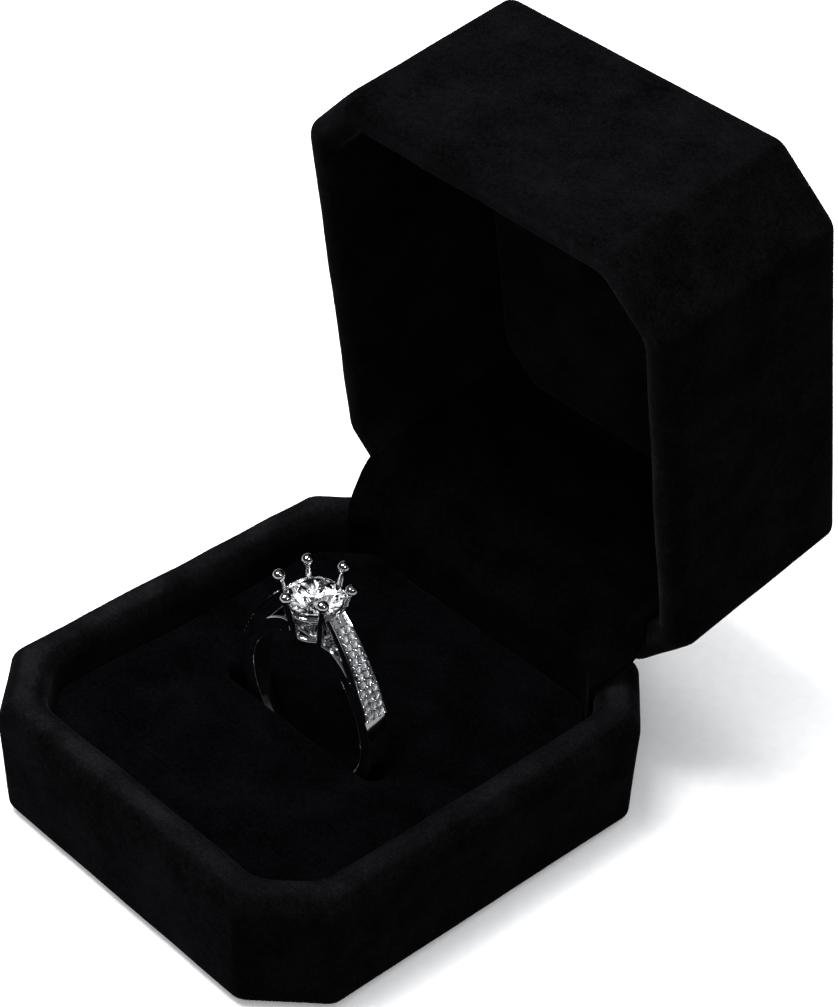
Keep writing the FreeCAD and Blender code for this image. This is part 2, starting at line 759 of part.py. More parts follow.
def shoulder_outline():
    """The whole shoulder: its outside, its tip against the head, and its inside down to the band."""
    edge = shoulder_edge()
    outside = [(f"{r} * cos({a})", f"{r} * sin({a})") for r, a in edge]
    outside[-1] = (outside[-1][0], "shoulder_top")
    tip = [("shoulder_end", "shoulder_top"), ("shoulder_end", "shoulder_top - shoulder_tip")]
    inside = [
        (f"({r} - shoulder_thick) * cos({a})", f"({r} - shoulder_thick) * sin({a})")
        for r, a in edge[:-1]
    ]
    return outside + tip + inside[::-1]


def make_shank():
    """Band with two shoulders that climb to the head, wider at the shoulders than below."""
    new = body("ring_shank_blank")
    disc = circle(new, "shank_outside", "0", "0", "ring_outer", "XZ_Plane")
    pad(new, disc, "band_width", both_sides=True)
    for side, word in ((1, "right"), (-1, "left")):
        points = [(f"{side} * {x}", z) for x, z in shoulder_outline()]
        arm = polygon(new, f"shank_arm_{word}", points, "XZ_Plane")
        pad(new, arm, "band_width", both_sides=True)
    finger = circle(new, "shank_finger_hole", "0", "0", "ring_inner", "XZ_Plane")
    pocket(new, finger, "band_width + 2 * overrun", both_sides=True)
    seat = rectangle(
        new, "shank_head_seat", "-shoulder_end", "shoulder_end", "head_seat", "taper_high", "XZ_Plane"
    )
    pocket(new, seat, "band_width + 2 * overrun", both_sides=True)
    for side, word in ((1, "back"), (-1, "front")):
        wide = f"{side} * band_width / 2"
        beyond = f"{side} * (band_width / 2 + overrun)"
        below = "-ring_outer - overrun"
        shave = polygon(
            new, f"shank_shave_{word}",
            [
                (wide, "band_full_up"),
                (f"{side} * band_base / 2", "-band_slim_down"),
                (f"{side} * band_base / 2", below),
                (beyond, below),
                (beyond, "band_full_up"),
            ],
            "YZ_Plane",
        )
        pocket(new, shave, "3 * ring_outer", both_sides=True)
        taper = polygon(
            new, f"shank_taper_{word}",
            [
                (wide, "taper_low"),
                (beyond, "taper_low"),
                (beyond, "taper_high"),
                (f"{side} * shoulder_slim / 2", "taper_high"),
            ],
            "YZ_Plane",
        )
        pocket(new, taper, "3 * ring_outer", both_sides=True)
    return place_on_ring(new)


def shoulder_walk():
    """Evenly spaced points up the right shoulder's outside, each with its outward normal."""
    corners = []
    for radius, angle in shoulder_edge():
        turn = math.radians(size(angle))
        corners.append((size(radius) * math.cos(turn), size(radius) * math.sin(turn)))
    pitch = size("pave_pitch")
    found = []
    ahead = pitch / 2
    for (x0, z0), (x1, z1) in zip(corners, corners[1:]):
        span = math.hypot(x1 - x0, z1 - z0)
        along_x, along_z = (x1 - x0) / span, (z1 - z0) / span
        while ahead <= span and len(found) < PAVE_RANKS:
            found.append((x0 + along_x * ahead, z0 + along_z * ahead, along_z, -along_x))
            ahead += pitch
        ahead -= span
    return found


def pave_places():
    """Seat and outward direction of every small stone: three abreast low down, then two."""
    places = []
    for rank, (x, z, out_x, out_z) in enumerate(shoulder_walk()):
        abreast = (-1, 0, 1) if rank < PAVE_RANKS_OF_THREE else (-0.5, 0.5)
        for side in (1, -1):
            for place in abreast:
                seat = Vector(side * x, place * size("pave_row"), z)
                places.append((seat, Vector(side * out_x, 0, out_z)))
    return places


def small_stone(seat, outward, grow):
    """A small stone: a cone sunk in the metal, with a low crown just above the surface."""
    radius = size("pave_radius") + grow
    depth = size("pave_depth") + grow
    pavilion = Part.makeCone(size("pave_culet"), radius, depth, seat - outward * depth, outward)
    crown = Part.makeCone(radius, size("pave_table") + grow, size("pave_rise"), seat, outward)
    return pavilion.fuse(crown).removeSplitter()


def ring_place():
    return FreeCAD.Placement(
        Vector(size("ring_x"), size("ring_y"), size("ring_z")), FreeCAD.Rotation()
    )


def make_pave(label, grow):
    stones = [small_stone(seat, outward, grow) for seat, outward in pave_places()]
    new = solid_feature(label, Part.makeCompound(stones))
    new.Placement = ring_place()
    return new


def make_ring_shank():
    return cut("ring_shank", make_shank(), make_pave("pave_seats", size("pave_play")))


def make_ring_head():
    """Basket: six flared prong wires with ball tips, on an upper and a lower rail."""
    pieces = []
    lean = FreeCAD.Rotation(Vector(0, 1, 0), math.degrees(math.atan(size("prong_flare"))))
    for number in range(PRONGS):
        turn = (number + 0.5) * 360 / PRONGS
        wire = DOC.addObject("Part::Cylinder", f"prong_wire_{number}")
        wire.setExpression("Radius", ref("prong_radius"))
        wire.setExpression("Height", ref("(prong_top - prong_low) * sqrt(1 + prong_flare ^ 2)"))
        wire.Placement = FreeCAD.Placement(Vector(), FreeCAD.Rotation(Vector(0, 0, 1), turn) * lean)
        bead = DOC.addObject("Part::Sphere", f"prong_bead_{number}")
        bead.setExpression("Radius", ref("bead_radius"))
        tip = "(prong_foot + (prong_top - prong_low) * prong_flare)"
        for part, out, up in ((wire, "prong_foot", "prong_low"), (bead, tip, "prong_top")):
            part.setExpression("Placement.Base.x", ref(f"ring_x + {out} * cos({turn})"))
            part.setExpression("Placement.Base.y", ref(f"ring_y + {out} * sin({turn})"))
            part.setExpression("Placement.Base.z", ref(f"ring_z + {up}"))
            pieces.append(part)
    for level in ("upper_rail", "lower_rail"):
        rail = DOC.addObject("Part::Torus", f"{level}_wire")
        rail.setExpression("Radius1", ref(level))
        rail.setExpression("Radius2", ref("rail_wire"))
        pieces.append(place_on_ring(rail, f"{level}_up"))
    new = DOC.addObject("Part::MultiFuse", "ring_head")
    new.Label = "ring_head"
    new.Shapes = pieces
    return new


def make_centre_stone():
    """Round brilliant reduced to its turned outline: table, crown, girdle, pavilion."""
    new = body("centre_stone")
    outline = polygon(
        new, "centre_stone_outline",
        [
            ("0", "-pavilion - girdle"),
            ("stone_radius", "-girdle"),
            ("stone_radius", "0"),
            ("table_radius", "crown_rise"),
            ("0", "crown_rise"),
        ],
        "XZ_Plane",
    )
    turned = new.newObject("PartDesign::Revolution", "centre_stone_turned")
    turned.Profile = outline
    turned.ReferenceAxis = (outline, ["V_Axis"])
    turned.Angle = 360
    return place_on_ring(new, "stone_height")


# ------------------------------------------------------------------ assemble
base_shell = make_base_shell()
base_wall_padding = make_wall_foam(
    "base_wall_padding", "velvet + base_wall", "base_foam", FLOOR, f"({RIM} - base_lip_drop)"
)
lid_shell = make_lid_shell()
lid_wall_padding = open_with_lid(
    make_wall_foam(
        "lid_wall_padding", "velvet + lid_wall", "lid_foam",
        f"({LID_RIM} + lid_lip_drop)", CEILING,
    )
)
ring_pad_foam = make_ring_pad_foam()
hinge_lid_leaf = open_with_lid(make_leaf("hinge_lid_leaf", 1, 2))
lid_rivets = open_with_lid(make_rivets("lid_rivets", 1, "0", LID_RIVET_END))
hinge_flap_lid = open_with_lid(
    make_flap(
        "hinge_flap_lid", f"{LID_INNER} + slip / 2",
        f"{LID_RIM} + flap_lid_low", f"{LID_RIM} + flap_lid_high",
    )
)

SUBPARTS = [
    base_shell,
    make_base_velvet_cover(base_shell, base_wall_padding),
    base_wall_padding,
    make_base_bottom_sheet(),
    make_pad_card(),
    ring_pad_foam,
    make_ring_pad_cover(ring_pad_foam),
    make_leaf("hinge_base_leaf", -1, 3),
    make_hinge_spring(),
    make_hinge_pin(),
    make_rivets("base_rivets", -1, "(leaf_play + spring_thick)", BASE_RIVET_END),
    make_flap("hinge_flap_base", f"{BASE_INNER} + slip", "flap_low", f"{RIM} - slip"),
    lid_shell,
    make_lid_velvet_cover(lid_shell, lid_wall_padding),
    lid_wall_padding,
    make_lid_top_lining(),
    hinge_lid_leaf,
    lid_rivets,
    hinge_flap_lid,
    make_ring_shank(),
    make_ring_head(),
    make_centre_stone(),
    make_pave("pave_stones", 0.0),
]

DOC.recompute()


def check_document():
    """Stops before anything is written if an object failed or a sub-part isn't sound."""
    for thing in DOC.Objects:
        if "Invalid" in thing.State or "Error" in thing.State:
            raise RuntimeError(f"{thing.Label} failed: {thing.State}")
    for piece in SUBPARTS:
        if piece.Shape.isNull() or not piece.Shape.isValid() or not piece.Shape.Solids:
            raise RuntimeError(f"{piece.Label} has no valid solid")


check_document()
os.makedirs("parts", exist_ok=True)
for piece in SUBPARTS:
    piece.Shape.exportStep(os.path.join("parts", piece.Label + ".step"))
    print(f"{piece.Label}: {len(piece.Shape.Solids)} solid(s), {piece.Shape.Volume:.1f} mm3")
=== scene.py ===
import json
import math

import bmesh
import bpy
from mathutils import Matrix, Vector, noise


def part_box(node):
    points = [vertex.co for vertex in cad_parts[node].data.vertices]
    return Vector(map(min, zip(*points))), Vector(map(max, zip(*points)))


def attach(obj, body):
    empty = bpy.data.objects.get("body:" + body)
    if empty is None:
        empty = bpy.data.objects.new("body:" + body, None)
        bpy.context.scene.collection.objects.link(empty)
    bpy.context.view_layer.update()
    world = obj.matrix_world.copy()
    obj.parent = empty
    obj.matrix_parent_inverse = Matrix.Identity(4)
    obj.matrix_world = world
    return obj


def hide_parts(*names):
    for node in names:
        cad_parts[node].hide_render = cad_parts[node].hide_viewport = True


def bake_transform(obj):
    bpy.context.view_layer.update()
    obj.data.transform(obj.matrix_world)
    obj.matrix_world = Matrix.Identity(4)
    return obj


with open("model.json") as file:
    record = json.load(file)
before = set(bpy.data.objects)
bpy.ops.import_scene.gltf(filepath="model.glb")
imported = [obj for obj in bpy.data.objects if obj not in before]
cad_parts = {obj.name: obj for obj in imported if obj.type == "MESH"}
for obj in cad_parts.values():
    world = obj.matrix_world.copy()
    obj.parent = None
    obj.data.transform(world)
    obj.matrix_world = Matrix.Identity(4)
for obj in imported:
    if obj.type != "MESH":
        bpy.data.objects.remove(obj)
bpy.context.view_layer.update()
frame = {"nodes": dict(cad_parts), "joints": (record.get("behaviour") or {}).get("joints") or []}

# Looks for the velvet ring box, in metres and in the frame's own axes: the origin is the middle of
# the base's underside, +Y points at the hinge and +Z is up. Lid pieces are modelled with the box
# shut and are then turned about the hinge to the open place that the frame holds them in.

MM = 0.001

# ------------ places read from the frame
joints = {joint["name"]: joint for joint in frame["joints"]}
hinge = joints["lid_hinge"]
PIVOT = Vector(hinge["pos_m"])
OPEN_ANGLE = math.radians(-hinge["range_deg"][0])
ABOUT_HINGE = Matrix.Rotation(OPEN_ANGLE, 4, Vector(hinge["axis"]))
TO_OPEN = Matrix.Translation(PIVOT) @ ABOUT_HINGE @ Matrix.Translation(-PIVOT)
TO_SHUT = TO_OPEN.inverted()


def node_points(node, turned=Matrix.Identity(4)):
    return [turned @ vertex.co for vertex in frame["nodes"][node].data.vertices]


def shut_box(node):
    """Lowest and highest corner of a lid node with the box shut."""
    points = node_points(node, TO_SHUT)
    return [Vector(end(p[axis] for p in points) for axis in range(3)) for end in (min, max)]


def corner_cut_of(node):
    """How much of each front corner the plan's 45 degree cut takes off, from the node's points."""
    points = node_points(node)
    half_x = max(p.x for p in points)
    half_y = max(-p.y for p in points)
    return half_x + half_y - max(p.x - p.y for p in points)


base_low, base_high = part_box("base_velvet_cover")
lid_low, lid_high = shut_box("lid_velvet_cover")
pad_low, pad_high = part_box("ring_pad_cover")
lining_low, lining_high = shut_box("lid_top_lining")
sheet_low, sheet_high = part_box("base_bottom_sheet")
shank_low, shank_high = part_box("ring_shank")
stone_low, stone_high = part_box("centre_stone")

HALF_WIDTH = base_high.x
HALF_DEPTH = base_high.y
CORNER_CUT = corner_cut_of("base_velvet_cover")
RIM = base_high.z
PAD_GAP = 0.15 * MM
LINING_GAP = 0.9 * MM
BASE_WALL = HALF_WIDTH - pad_high.x - PAD_GAP
LID_WALL = HALF_WIDTH - lining_high.x - LINING_GAP
BAND_OUTER = (shank_high.x - shank_low.x) / 2
RING = (shank_low + shank_high) / 2
RING.z = shank_low.z + BAND_OUTER

# ------------ mesh helpers
ARC_STEPS = 6
SIDE_STEP = 0.55 * MM


def link_new(name, data):
    """A new object with this data, in the scene."""
    new = bpy.data.objects.new(name, data)
    bpy.context.scene.collection.objects.link(new)
    return new


def make_object(name, points, faces, smooth=True):
    mesh = bpy.data.meshes.new(name)
    mesh.from_pydata([tuple(p) for p in points], [], faces)
    mesh.validate()
    if smooth:
        mesh.shade_smooth()
    return link_new(name, mesh)


def pour(bm, mesh):
    """Turns the faces outwards and stores them in the mesh."""
    bmesh.ops.recalc_face_normals(bm, faces=bm.faces[:])
    bm.to_mesh(mesh)
    bm.free()


def from_bmesh(name, bm, smooth_angle=None):
    mesh = bpy.data.meshes.new(name)
    pour(bm, mesh)
    if smooth_angle is not None:
        mesh.shade_smooth()
        mesh.set_sharp_from_angle(angle=math.radians(smooth_angle))
    return link_new(name, mesh)


def face_outwards(obj):
    bm = bmesh.new()
    bm.from_mesh(obj.data)
    pour(bm, obj.data)


def box_corners(inset):
    """Corners of the box's plan moved inwards, anticlockwise from the front's right end."""
    half_y = HALF_DEPTH - inset
    cut = CORNER_CUT - inset * (2 - math.sqrt(2))
    return octagon_corners(HALF_WIDTH - inset, -half_y, half_y, cut, cut)


def octagon_corners(half_x, y_front, y_rear, cut_front, cut_rear):
    right = [
        Vector((half_x - cut_front, y_front)),
        Vector((half_x, y_front + cut_front)),
        Vector((half_x, y_rear - cut_rear)),
        Vector((half_x - cut_rear, y_rear)),
    ]
    left = [Vector((-p.x, p.y)) for p in reversed(right)]
    return right + left


def side_counts(corners):
    """How many points go on each straight side, so that the outline is evenly divided."""
    sides = zip(corners, corners[1:] + corners[:1])
    return [max(4, round((end - start).length / SIDE_STEP)) for start, end in sides]


def rounded_loop(corners, radius, counts):
    """Points round a convex outline with rounded corners; equal counts give matching loops."""
    total = len(corners)
    arcs = []
    for i in range(total):
        here, before, after = corners[i], corners[i - 1], corners[(i + 1) % total]
        back, on = (before - here).normalized(), (after - here).normalized()
        half = back.angle(on) / 2
        shortest = min((before - here).length, (after - here).length)
        reach = min(radius / math.tan(half), 0.45 * shortest)
        inner_radius = reach * math.tan(half)
        centre = here + (back + on).normalized() * (inner_radius / math.sin(half))
        spoke = here + back * reach - centre
        sweep = math.pi - 2 * half
        arc = []
        for k in range(ARC_STEPS + 1):
            turn = Matrix.Rotation(sweep * k / ARC_STEPS, 2)
            arc.append(centre + turn @ spoke)
        arcs.append(arc)
    points = []
    for i, arc in enumerate(arcs):
        points += arc
        start, end = arc[-1], arcs[(i + 1) % total][0]
        for k in range(1, counts[i]):
            points.append(start.lerp(end, k / counts[i]))
    return points


def ring_faces(rings, count, closed):
    """Quads between rings of points that are stored one after another."""
    faces = []
    for r in range(rings if closed else rings - 1):
        here, there = r * count, (r + 1) % rings * count
        for k in range(count):
            on = (k + 1) % count
            faces.append((here + k, here + on, there + on, there + k))
    return faces


def solid_from_rings(name, rings, closed=False):
    """A solid whose sides join the rings; its first and last rings are filled, or joined too."""
    count = len(rings[0])
    points = [p for ring in rings for p in ring]
    faces = ring_faces(len(rings), count, closed)
    if not closed:
        faces.append(tuple(range(count))[::-1])
        faces.append(tuple(range(len(points) - count, len(points))))
    new = make_object(name, points, faces)
    face_outwards(new)
    return new


def box_loop(inset, rounding):
    """The box's rounded outline moved inwards; all such loops have equally many points."""
    return rounded_loop(box_corners(inset), rounding, side_counts(box_corners(0.0)))


def polar(radius, turn, height):
    return Vector((radius * math.cos(turn), radius * math.sin(turn), height))


def lift(loop, height):
    return [Vector((p.x, p.y, height)) for p in loop]


def ellipse(centre, across, up, start, end, steps):
    """Points of an elliptical arc in (inset, height), from one angle to another in degrees."""
    found = []
    for k in range(steps + 1):
        turn = math.radians(start + (end - start) * k / steps)
        found.append((centre[0] + across * math.cos(turn), centre[1] + up * math.sin(turn)))
    return found


def straight(start, end, step):
    """Points from start up to, but not including, end."""
    across, up = end[0] - start[0], end[1] - start[1]
    steps = max(1, round(math.hypot(across, up) / step))
    return [(start[0] + across * k / steps, start[1] + up * k / steps) for k in range(steps)]


def soften(obj, amount, size, seed, where=None):
    """Moves points along their normals by smooth noise, as soft padding under cloth does."""
    shift = Vector((seed * 7.31, seed * 3.17, seed * 1.73))
    mesh = obj.data
    normals = [vertex.normal.copy() for vertex in mesh.vertices]
    for vertex, normal in zip(mesh.vertices, normals):
        weight = 1.0 if where is None else where(vertex.co)
        if weight:
            wave = noise.noise(vertex.co / size + shift)
            ripple = noise.noise(vertex.co / (size * 0.37) + shift)
            vertex.co += normal * (wave + 0.35 * ripple) * amount * weight
    mesh.update()


def ease(value, low, high):
    """0 below low, 1 above high, smooth in between."""
    t = min(1.0, max(0.0, (value - low) / (high - low)))
    return t * t * (3 - 2 * t)


# ------------ materials
def new_material(name):
    material = bpy.data.materials.new(name)
    material.use_nodes = True
    tree = material.node_tree
    return material, tree, tree.nodes["Principled BSDF"]


def fill_inputs(tree, node, inputs):
    """Gives a node's inputs their numbers, colours or other nodes' sockets."""
    for key, value in inputs.items():
        if isinstance(value, bpy.types.NodeSocket):
            tree.links.new(value, node.inputs[key])
        else:
            node.inputs[key].default_value = value


def add_node(tree, kind, inputs=None, **settings):
    new = tree.nodes.new(kind)
    for key, value in settings.items():
        setattr(new, key, value)
    fill_inputs(tree, new, inputs or {})
    return new


def place_socket(tree, attribute=None):
    """Where a point is in metres: its object place, or a place stored on the mesh at rest."""
    if attribute:
        return add_node(tree, "ShaderNodeAttribute", attribute_name=attribute).outputs["Vector"]
    return add_node(tree, "ShaderNodeTexCoord").outputs["Object"]


def noise_socket(tree, place, grain, detail=3.0, distortion=0.0):
    """Noise whose features are about grain metres across."""
    return add_node(
        tree, "ShaderNodeTexNoise",
        {"Vector": place, "Scale": 1.0 / grain, "Detail": detail,
         "Roughness": 0.55, "Distortion": distortion},
    ).outputs["Fac"]


def stretched_place(tree, place, scale):
    return add_node(tree, "ShaderNodeMapping", {"Vector": place, "Scale": scale}).outputs["Vector"]


def ramp_socket(tree, factor, stops):
    """Colour that runs through (position, colour) stops as the factor grows."""
    new = add_node(tree, "ShaderNodeValToRGB", {"Fac": factor})
    ramp = new.color_ramp
    while len(ramp.elements) < len(stops):
        ramp.elements.new(0.5)
    for element, (position, colour) in zip(ramp.elements, stops):
        element.position = position
        element.color = (*colour, 1.0)
    return new.outputs["Color"]


def range_socket(tree, value, low, high, from_low=0.3, from_high=0.7):
    return add_node(
        tree, "ShaderNodeMapRange",
        {"Value": value, "From Min": from_low, "From Max": from_high,
         "To Min": low, "To Max": high},
    ).outputs["Result"]


def blend_socket(tree, first, second, share):
    """A mix of two values."""
    return add_node(
        tree, "ShaderNodeMix", {"Factor": share, "A": first, "B": second}
    ).outputs["Result"]


def maths_socket(tree, operation, *values):
    return add_node(
        tree, "ShaderNodeMath", dict(enumerate(values)), operation=operation
    ).outputs["Value"]


def relief_socket(tree, height, strength, depth):
    """Surface direction bumped by a height pattern that is depth metres deep."""
    return add_node(
        tree, "ShaderNodeBump", {"Height": height, "Strength": strength, "Distance": depth}
    ).outputs["Normal"]


# Stops of the pile's colour ramp; the last one is the painted highlight on rim crests.
PILE_LOW, PILE_HIGH, PILE_HIGHLIGHT = 0.38, 0.64, 0.9


def velvet(name, dark, light, sheen, cloud, grain, attribute=None):
    """Cut pile: near black, cloudy where the nap lies differently, with a fine fibrous grain.

    Near a rim's crest, by the mesh's crest attribute, the colour is painted up to 2.6 times paler, a painted
    highlight where light falls on the crest; the sheen grows there too.
    """
    material, tree, shader = new_material(name)
    place = place_socket(tree, attribute)
    clouds = noise_socket(tree, place, cloud, detail=2.0, distortion=0.3)
    tufts = noise_socket(tree, place, grain * 3, detail=1.0)
    fibres = noise_socket(tree, place, grain, detail=1.0)
    lie = blend_socket(tree, clouds, tufts, 0.35)
    pile = blend_socket(tree, lie, fibres, 0.42)
    crest = add_node(tree, "ShaderNodeAttribute", attribute_name="crest").outputs["Fac"]
    # Painted highlight: the crest attribute pushes the pile towards a colour 2.6 times paler.
    crest_highlight = range_socket(tree, noise_socket(tree, place, 2 * cloud, detail=1.0), 0.12, 0.28)
    pile_and_highlight = maths_socket(tree, "MULTIPLY_ADD", crest, crest_highlight, pile)
    highlight_colour = tuple(2.6 * part for part in light)
    shades = [(PILE_LOW, dark), (PILE_HIGH, light), (PILE_HIGHLIGHT, highlight_colour)]
    fill_inputs(tree, shader, {
        "Base Color": ramp_socket(tree, pile_and_highlight, shades),
        "Sheen Weight": range_socket(tree, pile_and_highlight, sheen * 0.4, sheen * 1.6, PILE_LOW, PILE_HIGHLIGHT),
        "Sheen Roughness": 0.42,
        "Sheen Tint": (0.86, 0.89, 1.0, 1.0),
        "Roughness": 0.95,
        "Specular IOR Level": 0.0,
        "Normal": relief_socket(tree, pile, 0.6, 0.12 * MM),
    })
    return material


def felt(name):
    material, tree, shader = new_material(name)
    place = place_socket(tree)
    clumps = noise_socket(tree, place, 1.6 * MM)
    hairs = noise_socket(tree, place, 0.2 * MM, detail=2.0, distortion=1.2)
    matt = blend_socket(tree, clumps, hairs, 0.6)
    fill_inputs(tree, shader, {
        "Base Color": ramp_socket(tree, matt, [(0.3, (0.012, 0.012, 0.013)), (0.7, (0.04, 0.04, 0.043))]),
        "Roughness": 1.0,
        "Specular IOR Level": 0.1,
        "Normal": relief_socket(tree, matt, 0.5, 0.1 * MM),
    })
    return material


def polished_metal(name, colour, roughness):
    """Bright metal with faint polishing marks."""
    material, tree, shader = new_material(name)
    place = place_socket(tree)
    smudges = noise_socket(tree, place, 1.4 * MM)
    marks = noise_socket(tree, stretched_place(tree, place, (1.0, 1.0, 6.0)), 0.25 * MM)
    shade = tuple(0.9 * part for part in colour)
    fill_inputs(tree, shader, {
        "Base Color": ramp_socket(tree, smudges, [(0.3, shade), (0.6, colour)]),
        "Metallic": 1.0,
        "Roughness": range_socket(tree, smudges, roughness * 0.6, roughness * 1.6),
        "Normal": relief_socket(tree, marks, 0.15, 0.01 * MM),
    })
    return material


def brushed_steel(name, colour, roughness):
    """Rolled steel with a grain along X, as hinge strip has."""
    material, tree, shader = new_material(name)
    place = place_socket(tree)
    grain = noise_socket(tree, stretched_place(tree, place, (0.06, 1.0, 1.0)), 0.12 * MM)
    stains = noise_socket(tree, place, 2.5 * MM, detail=2.0)
    shade = tuple(0.72 * part for part in colour)
    fill_inputs(tree, shader, {
        "Base Color": ramp_socket(tree, stains, [(0.35, shade), (0.65, colour)]),
        "Metallic": 1.0,
        "Roughness": range_socket(tree, grain, roughness * 0.7, roughness * 1.3),
        "Normal": relief_socket(tree, grain, 0.35, 0.02 * MM),
    })
    return material


def moulded_plastic(name):
    material, tree, shader = new_material(name)
    place = place_socket(tree)
    spark = noise_socket(tree, place, 0.18 * MM, detail=2.0)
    patches = noise_socket(tree, place, 6.0 * MM, detail=2.0)
    fill_inputs(tree, shader, {
        "Base Color": ramp_socket(tree, patches, [(0.3, (0.012, 0.012, 0.013)), (0.7, (0.02, 0.02, 0.022))]),
        "Roughness": 0.55,
        "Normal": relief_socket(tree, spark, 0.3, 0.03 * MM),
    })
    return material


def card(name):
    material, tree, shader = new_material(name)
    pulp = noise_socket(tree, place_socket(tree), 0.5 * MM, detail=4.0, distortion=0.8)
    fill_inputs(tree, shader, {
        "Base Color": ramp_socket(tree, pulp, [(0.35, (0.16, 0.15, 0.135)), (0.65, (0.27, 0.255, 0.23))]),
        "Roughness": 0.9,
        "Normal": relief_socket(tree, pulp, 0.3, 0.03 * MM),
    })
    return material


def cut_stone(name):
    """Clear stone; its tint varies a trace so that no facet is quite alike."""
    material, tree, shader = new_material(name)
    trace = noise_socket(tree, place_socket(tree), 1.2 * MM, detail=1.0)
    fill_inputs(tree, shader, {
        "Base Color": ramp_socket(tree, trace, [(0.3, (0.96, 0.975, 1.0)), (0.7, (1.0, 1.0, 1.0))]),
        "Transmission Weight": 1.0,
        "IOR": 2.18,
        "Roughness": range_socket(tree, trace, 0.0, 0.012),
    })
    return material


# One black velvet in four copies: the pad's and the flap's copies are darker, painted shade; the lining's
# copy is lighter, painted light in the shaded inside of the lid.
OUTER_VELVET = velvet(
    "outer_velvet", dark=(0.0007, 0.0007, 0.0008), light=(0.0025, 0.0025, 0.0028),
    sheen=0.018, cloud=5.5 * MM, grain=0.24 * MM,
)
PAD_VELVET = velvet(
    "pad_velvet", dark=(0.0003, 0.0003, 0.0004), light=(0.0016, 0.0016, 0.002),
    sheen=0.008, cloud=6.5 * MM, grain=0.2 * MM,
)
LINING_VELVET = velvet(
    "lining_velvet", dark=(0.0016, 0.0016, 0.0018), light=(0.0052, 0.0052, 0.0058),
    sheen=0.02, cloud=5.0 * MM, grain=0.2 * MM,
)
FLAP_VELVET = velvet(
    "flap_velvet", dark=(0.0003, 0.0003, 0.0004), light=(0.0015, 0.0015, 0.0018),
    sheen=0.006, cloud=5.0 * MM, grain=0.2 * MM, attribute="rest_place",
)
FELT = felt("felt")
RING_METAL = polished_metal("ring_metal", (0.9, 0.905, 0.92), roughness=0.045)
HINGE_STEEL = brushed_steel("hinge_steel", (0.45, 0.45, 0.46), roughness=0.38)
SPRING_STEEL = brushed_steel("spring_steel", (0.3, 0.32, 0.36), roughness=0.38)
SHELL_PLASTIC = moulded_plastic("shell_plastic")
PAD_CARD = card("pad_card_grey")
STONE = cut_stone("clear_stone")


def dress(obj, material, slot, body, *nodes):
    """Gives a new piece its material, its body and the CAD nodes that it stands for."""
    obj.data.materials.clear()
    obj.data.materials.append(material)
    if body:
        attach(obj, body)
    if nodes:
        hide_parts(*nodes)


# ------------ padded velvet halves
SKIN = 0.65 * MM
CORNER_SOFT = 1.5 * MM
CORNER_GROWTH = 0.6
WINDOW_HALF = 14.2 * MM
WINDOW_EASE = 1.0 * MM
WINDOW_DROP = RIM - (PIVOT.z - 1.08 * MM)


def skin_rings(profile):
    """One loop of points for each (inset, height) of a profile."""
    return [
        lift(box_loop(inset, CORNER_SOFT + CORNER_GROWTH * max(inset, 0.0)), height)
        for inset, height in profile
    ]


def hidden_profile(profile, distance):
    """A coarser profile, run backwards, this far left of the given one, or right if below 0."""
    moved = []
    last = len(profile) - 1
    for i, (inset, height) in enumerate(profile):
        before, after = profile[max(0, i - 1)], profile[min(last, i + 1)]
        along = Vector((after[0] - before[0], after[1] - before[1])).normalized()
        moved.append((inset - along.y * distance, height + along.x * distance))
    return moved[::-1][::3]


def rear_window(obj, edge, direction):
    """Lowers the rear rim where the hinge's knuckles sit. Direction 1 is the base, -1 the lid."""
    rear_wall = HALF_DEPTH * 0.75
    kept_relief = 0.04
    for vertex in obj.data.vertices:
        if vertex.co.y < rear_wall:
            continue
        open_share = 1 - ease(abs(vertex.co.x), WINDOW_HALF - WINDOW_EASE, WINDOW_HALF + WINDOW_EASE)
        if open_share <= 0:
            continue
        limit = edge - direction * WINDOW_DROP * open_share
        over = (vertex.co.z - limit) * direction
        if over > 0:
            vertex.co.z = limit + direction * over * kept_relief
    obj.data.update()


def paint_crest_highlight(obj, height, reach, most=1.0):
    """Stores how close each vertex is to the rim's crest, where the velvet gets a painted highlight."""
    crest = obj.data.attributes.new("crest", "FLOAT", "POINT")
    for vertex, stored in zip(obj.data.vertices, crest.data):
        away = abs(vertex.co.z - height)
        stored.value = most * (1 - ease(away, 0.0, reach))


